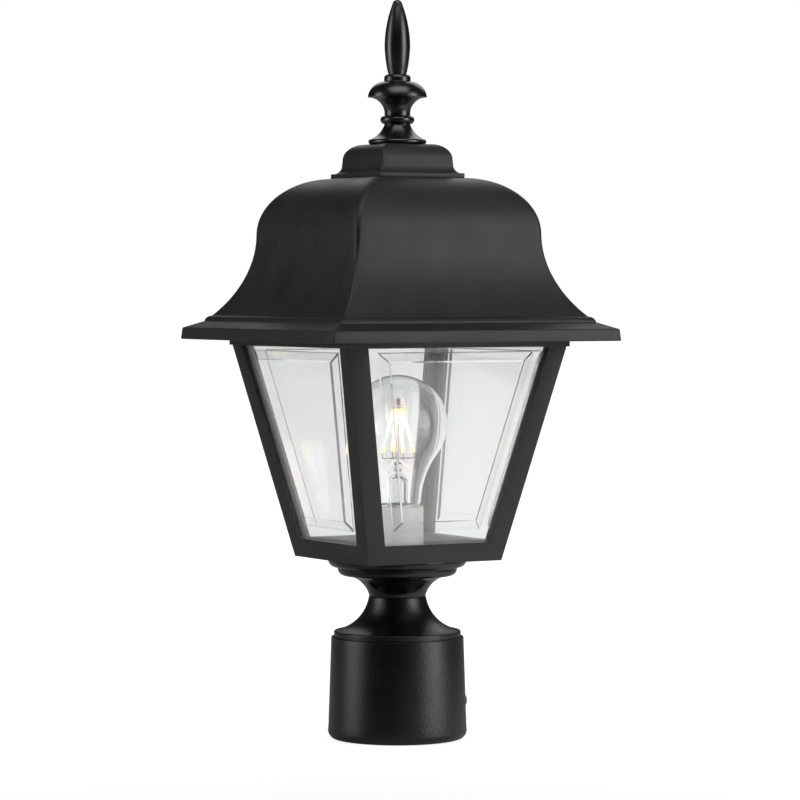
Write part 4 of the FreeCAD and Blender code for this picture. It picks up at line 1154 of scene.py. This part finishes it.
def makeStem(s):
    # A hollow tube, flared at its foot, closed in a dome that carries a rod with a bead.
    foot = footOf("bulb_contact")
    outside = [
        (s.flare, s.foot), (s.flare, s.flareTop), (s.tube, s.straight),
        (s.tube, s.shoulder, "out", s.dome), (s.neck, s.neckHeight), (s.neck, s.neckTop),
        (s.bead, s.beadHeight), (s.neck, s.top), (0.0, s.top),
    ]
    bore = s.tube - s.wall
    inside = [
        (0.0, s.domeInside), (bore * s.domeShare, s.domeInside - s.domeDrop), (bore, s.shoulder),
        (bore, s.straight), (s.flare - s.wall, s.flareTop - s.wall), (s.flare - s.wall, s.foot),
    ]
    line = eased(traced(outside, degrees=8.0), s.ease, False)
    line += eased(traced(inside, degrees=8.0), s.innerEase, False)
    rings = [roundRing(spot.x, foot + spot.y, 80) for spot in line]
    dress("bulb_stem", "bulb_stem_glass", glassSkin(rings), "bulbGlass", smoothUnder=50.0)


makeBulb(named(bulbSizes))
makeEnvelope(named(bulbSizes))
makeStem(named(stemSizes))

filamentSizes = {
    "count": 4, "angle": -12.0, "radius": 0.85, "footReach": 10.3, "foot": 54.5, "topReach": 2.2,
    "top": 83.5, "pin": 0.35, "pinLength": 1.4, "pinOverlap": 0.3, "wire": 0.4, "arms": 52.5,
    "armStart": 0.4, "armBend": 1.1, "bendSteps": 8, "stemTop": 50.0, "stemDip": 2.0,
    "wireTip": 89.0, "crown": 3.2, "crownThick": 0.5, "crownRise": 0.9, "coil": 1.0, "coilTurns": 3,
    "coilSteps": 16, "coilRise": 1.6, "coilHeight": 3.4, "weld": 0.001,
}


def buildStripTree():
    tree, given, keys = startTree("strips in a ring", {
        "Host": "Geometry", "Strip": "Object", "Count": "Int", "Reach": "Float",
        "Height": "Float", "Lean": "Float", "Start angle": "Float", "Finish": "Material",
    })
    inputs = {"Vertices": given["Count"], "Radius": given["Reach"]}
    ring = addNode(tree, "GeometryNodeMeshCircle", inputs, "Mesh")
    model = addNode(tree, "GeometryNodeObjectInfo", {"Object": given["Strip"]}, "Geometry")
    share = maths(tree, "DIVIDE", addNode(tree, "GeometryNodeInputIndex", out=0), given["Count"])
    turns = maths(tree, "MULTIPLY", share, 2 * math.pi)
    placed = addNode(tree, "GeometryNodeInstanceOnPoints", {
        "Points": ring, "Instance": model, "Rotation": combined(tree, Y=given["Lean"], Z=turns),
    }, "Instances")
    moved = addNode(tree, "GeometryNodeTransform", {
        "Geometry": placed, "Translation": combined(tree, Z=given["Height"]),
        "Rotation": combined(tree, Z=given["Start angle"]),
    }, "Geometry")
    endTree(tree, moved, given["Finish"])
    return tree, keys


def makeStripSet(name, shape, finish, smoothUnder, s):
    model = makeObject(name + "Model", shape, finish, smoothUnder)
    piece = grown(name, bpy.data.meshes.new(name), *buildStripTree(), {
        "Strip": model, "Count": s.count, "Reach": s.footReach * mm,
        "Height": (footOf("bulb_contact") + s.foot) * mm,
        "Lean": -math.atan((s.footReach - s.topReach) / (s.top - s.foot)),
        "Start angle": math.radians(s.angle), "Finish": finishes[finish],
    })
    bpy.data.objects.remove(model)
    return piece


def makeFilaments(s):
    length = math.hypot(s.footReach - s.topReach, s.top - s.foot)
    strip = turnedShape(drum(s.radius, length - 2 * s.pinLength), s.pinLength, ease=0.5, steps=24)
    standFor(makeStripSet("filament_strips", strip, "filamentGlow", 60.0, s), "bulb_filaments")
    pin = s.pinLength + s.pinOverlap
    feet = (0.0, length - pin)
    pins = [turnedShape(drum(s.pin, pin), foot, ease=0.1, steps=16) for foot in feet]
    addBeside(makeStripSet("filament_pins", joined(*pins), "leadWire", 32.0, s), "bulb_wires")


def wireShape(name, runs, s):
    # Round wires along lists of points, as one mesh.
    curve = bpy.data.curves.new(name, "CURVE")
    curve.dimensions = "3D"
    curve.bevel_depth = s.wire * mm
    curve.bevel_resolution = 3
    curve.use_fill_caps = True
    for run in runs:
        spline = curve.splines.new("POLY")
        spline.points.add(len(run) - 1)
        for point, spot in zip(spline.points, run):
            point.co = (*(Vector(spot) * mm), 1)
    host = linked(name, curve)
    mesh = resultOf(host)
    bpy.data.objects.remove(host)
    cleaned(mesh, s.weld)
    mesh.materials.clear()
    mesh.materials.append(finishes["leadWire"])
    return smoothed(linked(name, mesh), smoothUnder=60.0)


def bentRun(angle, foot, s):
    # From the bead out to a filament's foot: along, then round a bend and up.
    start = s.footReach - s.armBend
    run = [(s.armStart, s.arms), (start, s.arms)]
    for step in range(1, s.bendSteps + 1):
        turn = math.pi / 2 * step / s.bendSteps
        rise = s.armBend * (1 - math.cos(turn))
        run.append((start + s.armBend * math.sin(turn), s.arms + rise))
    run.append((s.footReach, s.foot + s.pinOverlap))
    return [polar(reach, angle, foot + height) for reach, height in run]


def makeWires(s):
    foot = footOf("bulb_contact")
    angles = [math.radians(s.angle) + 2 * math.pi * k / s.count for k in range(s.count)]
    runs = [bentRun(angle, foot, s) for angle in angles]
    runs.append([(0, 0, foot + s.stemTop - s.stemDip), (0, 0, foot + s.wireTip)])
    coil = []
    for step in range(s.coilTurns * s.coilSteps + 1):
        turns = step / s.coilSteps
        rise = s.coilRise + s.coilHeight * turns / s.coilTurns
        coil.append(polar(s.coil, 2 * math.pi * turns, foot + s.top + rise))
    standFor(wireShape("bulb_wire_tree", [*runs, coil], s), "bulb_wires")
    crown = turnedShape(drum(s.crown, s.crownThick), foot + s.top + s.crownRise, ease=0.2, steps=40)
    addBeside(makeObject("bulb_crown", crown, "leadWire"), "bulb_wires")


makeFilaments(named(filamentSizes))
makeWires(named(filamentSizes))
print("bulb made")


# Camera, floor, lamps and world. This part is in metres.

cameraSizes = {
    "lens": 156.2, "sensor": 36.0, "distance": 2.1109, "turn": 29.9, "down": 1.952,
    "height": 0.2778, "sideways": 0.0016, "clip": (0.05, 200.0),
}


def makeCamera(s):
    data = bpy.data.cameras.new("camera")
    data.lens = s.lens
    data.sensor_width = s.sensor
    data.clip_start, data.clip_end = s.clip
    camera = linked("camera", data)
    turn, down = math.radians(s.turn), math.radians(s.down)
    ahead = Vector((math.sin(turn), math.cos(turn), 0))
    right = Vector((math.cos(turn), -math.sin(turn), 0))
    camera.location = right * s.sideways - ahead * s.distance + Vector((0, 0, s.height))
    aimAt(camera, ahead * math.cos(down) - Vector((0, 0, math.sin(down))))
    bpy.context.scene.camera = camera
    return ahead, right


def aimAt(holder, look):
    holder.rotation_mode = "QUATERNION"
    holder.rotation_quaternion = look.to_track_quat("-Z", "Y")


ahead, right = makeCamera(named(cameraSizes))

stageSizes = {
    "floorHalf": 30.0, "floorDrop": 0.0003, "rough": 0.9, "shine": 0.1,
    # its colour, deeper towards the front: painted shade, which gloss parts reflect as a dark room
    # before them
    "colourEdges": (-0.35, 0.1), "colours": (0.1, 0.45),
    # its glow, by the distance from the object
    "glowEdges": (0.1, 0.8), "glows": (0.86, 1.0),
    # the glow's share on a glossy surface, most at a spot right of the object and before it: a
    # painted bright patch that shows only in reflections
    "spotEdges": (0.15, 0.4), "glossShares": (0.9, 0.05), "spotRight": 0.32, "spotBefore": 0.18,
}


def makeFloor(s):
    mesh = bpy.data.meshes.new("floor")
    sides = ((-1, -1), (1, -1), (1, 1), (-1, 1))
    corners = [(x * s.floorHalf, y * s.floorHalf, -s.floorDrop) for x, y in sides]
    mesh.from_pydata(corners, [], [(0, 1, 2, 3)])
    material, tree, shader = startFinish("pale floor")
    place = addNode(tree, "ShaderNodeTexCoord", out="Object")
    # A painted bright patch on the floor, which only gloss parts see.
    spot = right * s.spotRight - ahead * s.spotBefore

    def fade(distance, span, levels):
        return ranged(tree, distance, span, levels, "SMOOTHSTEP")

    level = fade(measured(tree, "LENGTH", place), s.glowEdges, s.glows)
    # The painted patch's share of the glow in reflections.
    share = fade(measured(tree, "DISTANCE", place, spot), s.spotEdges, s.glossShares)
    # Painted shade: the floor's colour is darker before the object, for gloss parts to reflect.
    paintedShadeTone = fade(measured(tree, "DOT_PRODUCT", place, ahead), s.colourEdges, s.colours)
    inputs = {"Base Color": paintedShadeTone, "Roughness": s.rough, "Specular IOR Level": s.shine}
    fillInputs(tree, shader, inputs)
    strength = seenDirectly(tree, level, share)
    glow = addNode(tree, "ShaderNodeEmission", {"Strength": strength}, "Emission")
    both = addNode(tree, "ShaderNodeAddShader", {0: shader.outputs["BSDF"], 1: glow}, "Shader")
    fillInputs(tree, tree.nodes["Material Output"], {"Surface": both})
    mesh.materials.append(material)
    linked("floor", mesh)


def seenDirectly(tree, strength, glossShare):
    # The strength for rays from the camera or through glass, a share of it for gloss, and
    # nothing for the others.
    path = addNode(tree, "ShaderNodeLightPath").outputs
    gloss = maths(tree, "MULTIPLY", path["Is Glossy Ray"], glossShare)
    seen = maths(tree, "MAXIMUM", path["Is Camera Ray"], gloss)
    seen = maths(tree, "MAXIMUM", seen, path["Is Transmission Ray"])
    return maths(tree, "MULTIPLY", seen, strength)


makeFloor(named(stageSizes))

lampSizes = {
    # degrees from the camera's side (right is positive), degrees up, distance, width, height, watts
    "right softbox": (66, 3, 1.5, 0.8, 1.7, 14.5),
    "left softbox": (-80, 3, 1.5, 0.7, 1.7, 9.5),
    "top softbox": (10, 64, 1.7, 1.6, 1.1, 11),
    "back softbox": (172, 35, 1.8, 1.6, 0.8, 6),
}
lampAim = Vector((0, 0, 0.24))


def makeLamps(lamps):
    for name, (around, up, distance, width, height, watts) in lamps.items():
        lamp = bpy.data.lights.new(name, "AREA")
        lamp.shape = "RECTANGLE"
        lamp.size, lamp.size_y = width, height
        lamp.energy = watts
        turn, rise = math.radians(around), math.radians(up)
        flat = -ahead * math.cos(turn) + right * math.sin(turn)
        way = flat * math.cos(rise) + Vector((0, 0, math.sin(rise)))
        holder = linked(name, lamp)
        holder.location = lampAim + way * distance
        aimAt(holder, -way)


makeLamps(lampSizes)

worldSizes = {"fill": 0.14, "seen": 1.0, "edges": (-0.2, 0.8), "glosses": (0.01, 0.04)}


def makeWorld(s):
    # White where the camera sees it, also through glass. Gloss shows a grey backdrop and a dim
    # room before it, and the rest gets a weak fill.
    world = bpy.data.worlds.new("studio")
    world.use_nodes = True
    bpy.context.scene.world = world
    tree = world.node_tree
    tree.nodes.clear()

    def sky(strength):
        inputs = {"Color": (1, 1, 1, 1), "Strength": strength}
        return addNode(tree, "ShaderNodeBackground", inputs, "Background")

    path = addNode(tree, "ShaderNodeLightPath").outputs
    place = addNode(tree, "ShaderNodeTexCoord", out="Generated")
    gloss = ranged(tree, measured(tree, "DOT_PRODUCT", place, ahead), s.edges, s.glosses)
    unseen = mixed(tree, path["Is Glossy Ray"], sky(s.fill), sky(gloss))
    sight = maths(tree, "MAXIMUM", path["Is Camera Ray"], path["Is Transmission Ray"])
    surface = mixed(tree, sight, unseen, sky(s.seen))
    addNode(tree, "ShaderNodeOutputWorld", {"Surface": surface})


makeWorld(named(worldSizes))
bpy.context.scene.view_settings.view_transform = "Standard"
print("stage made")
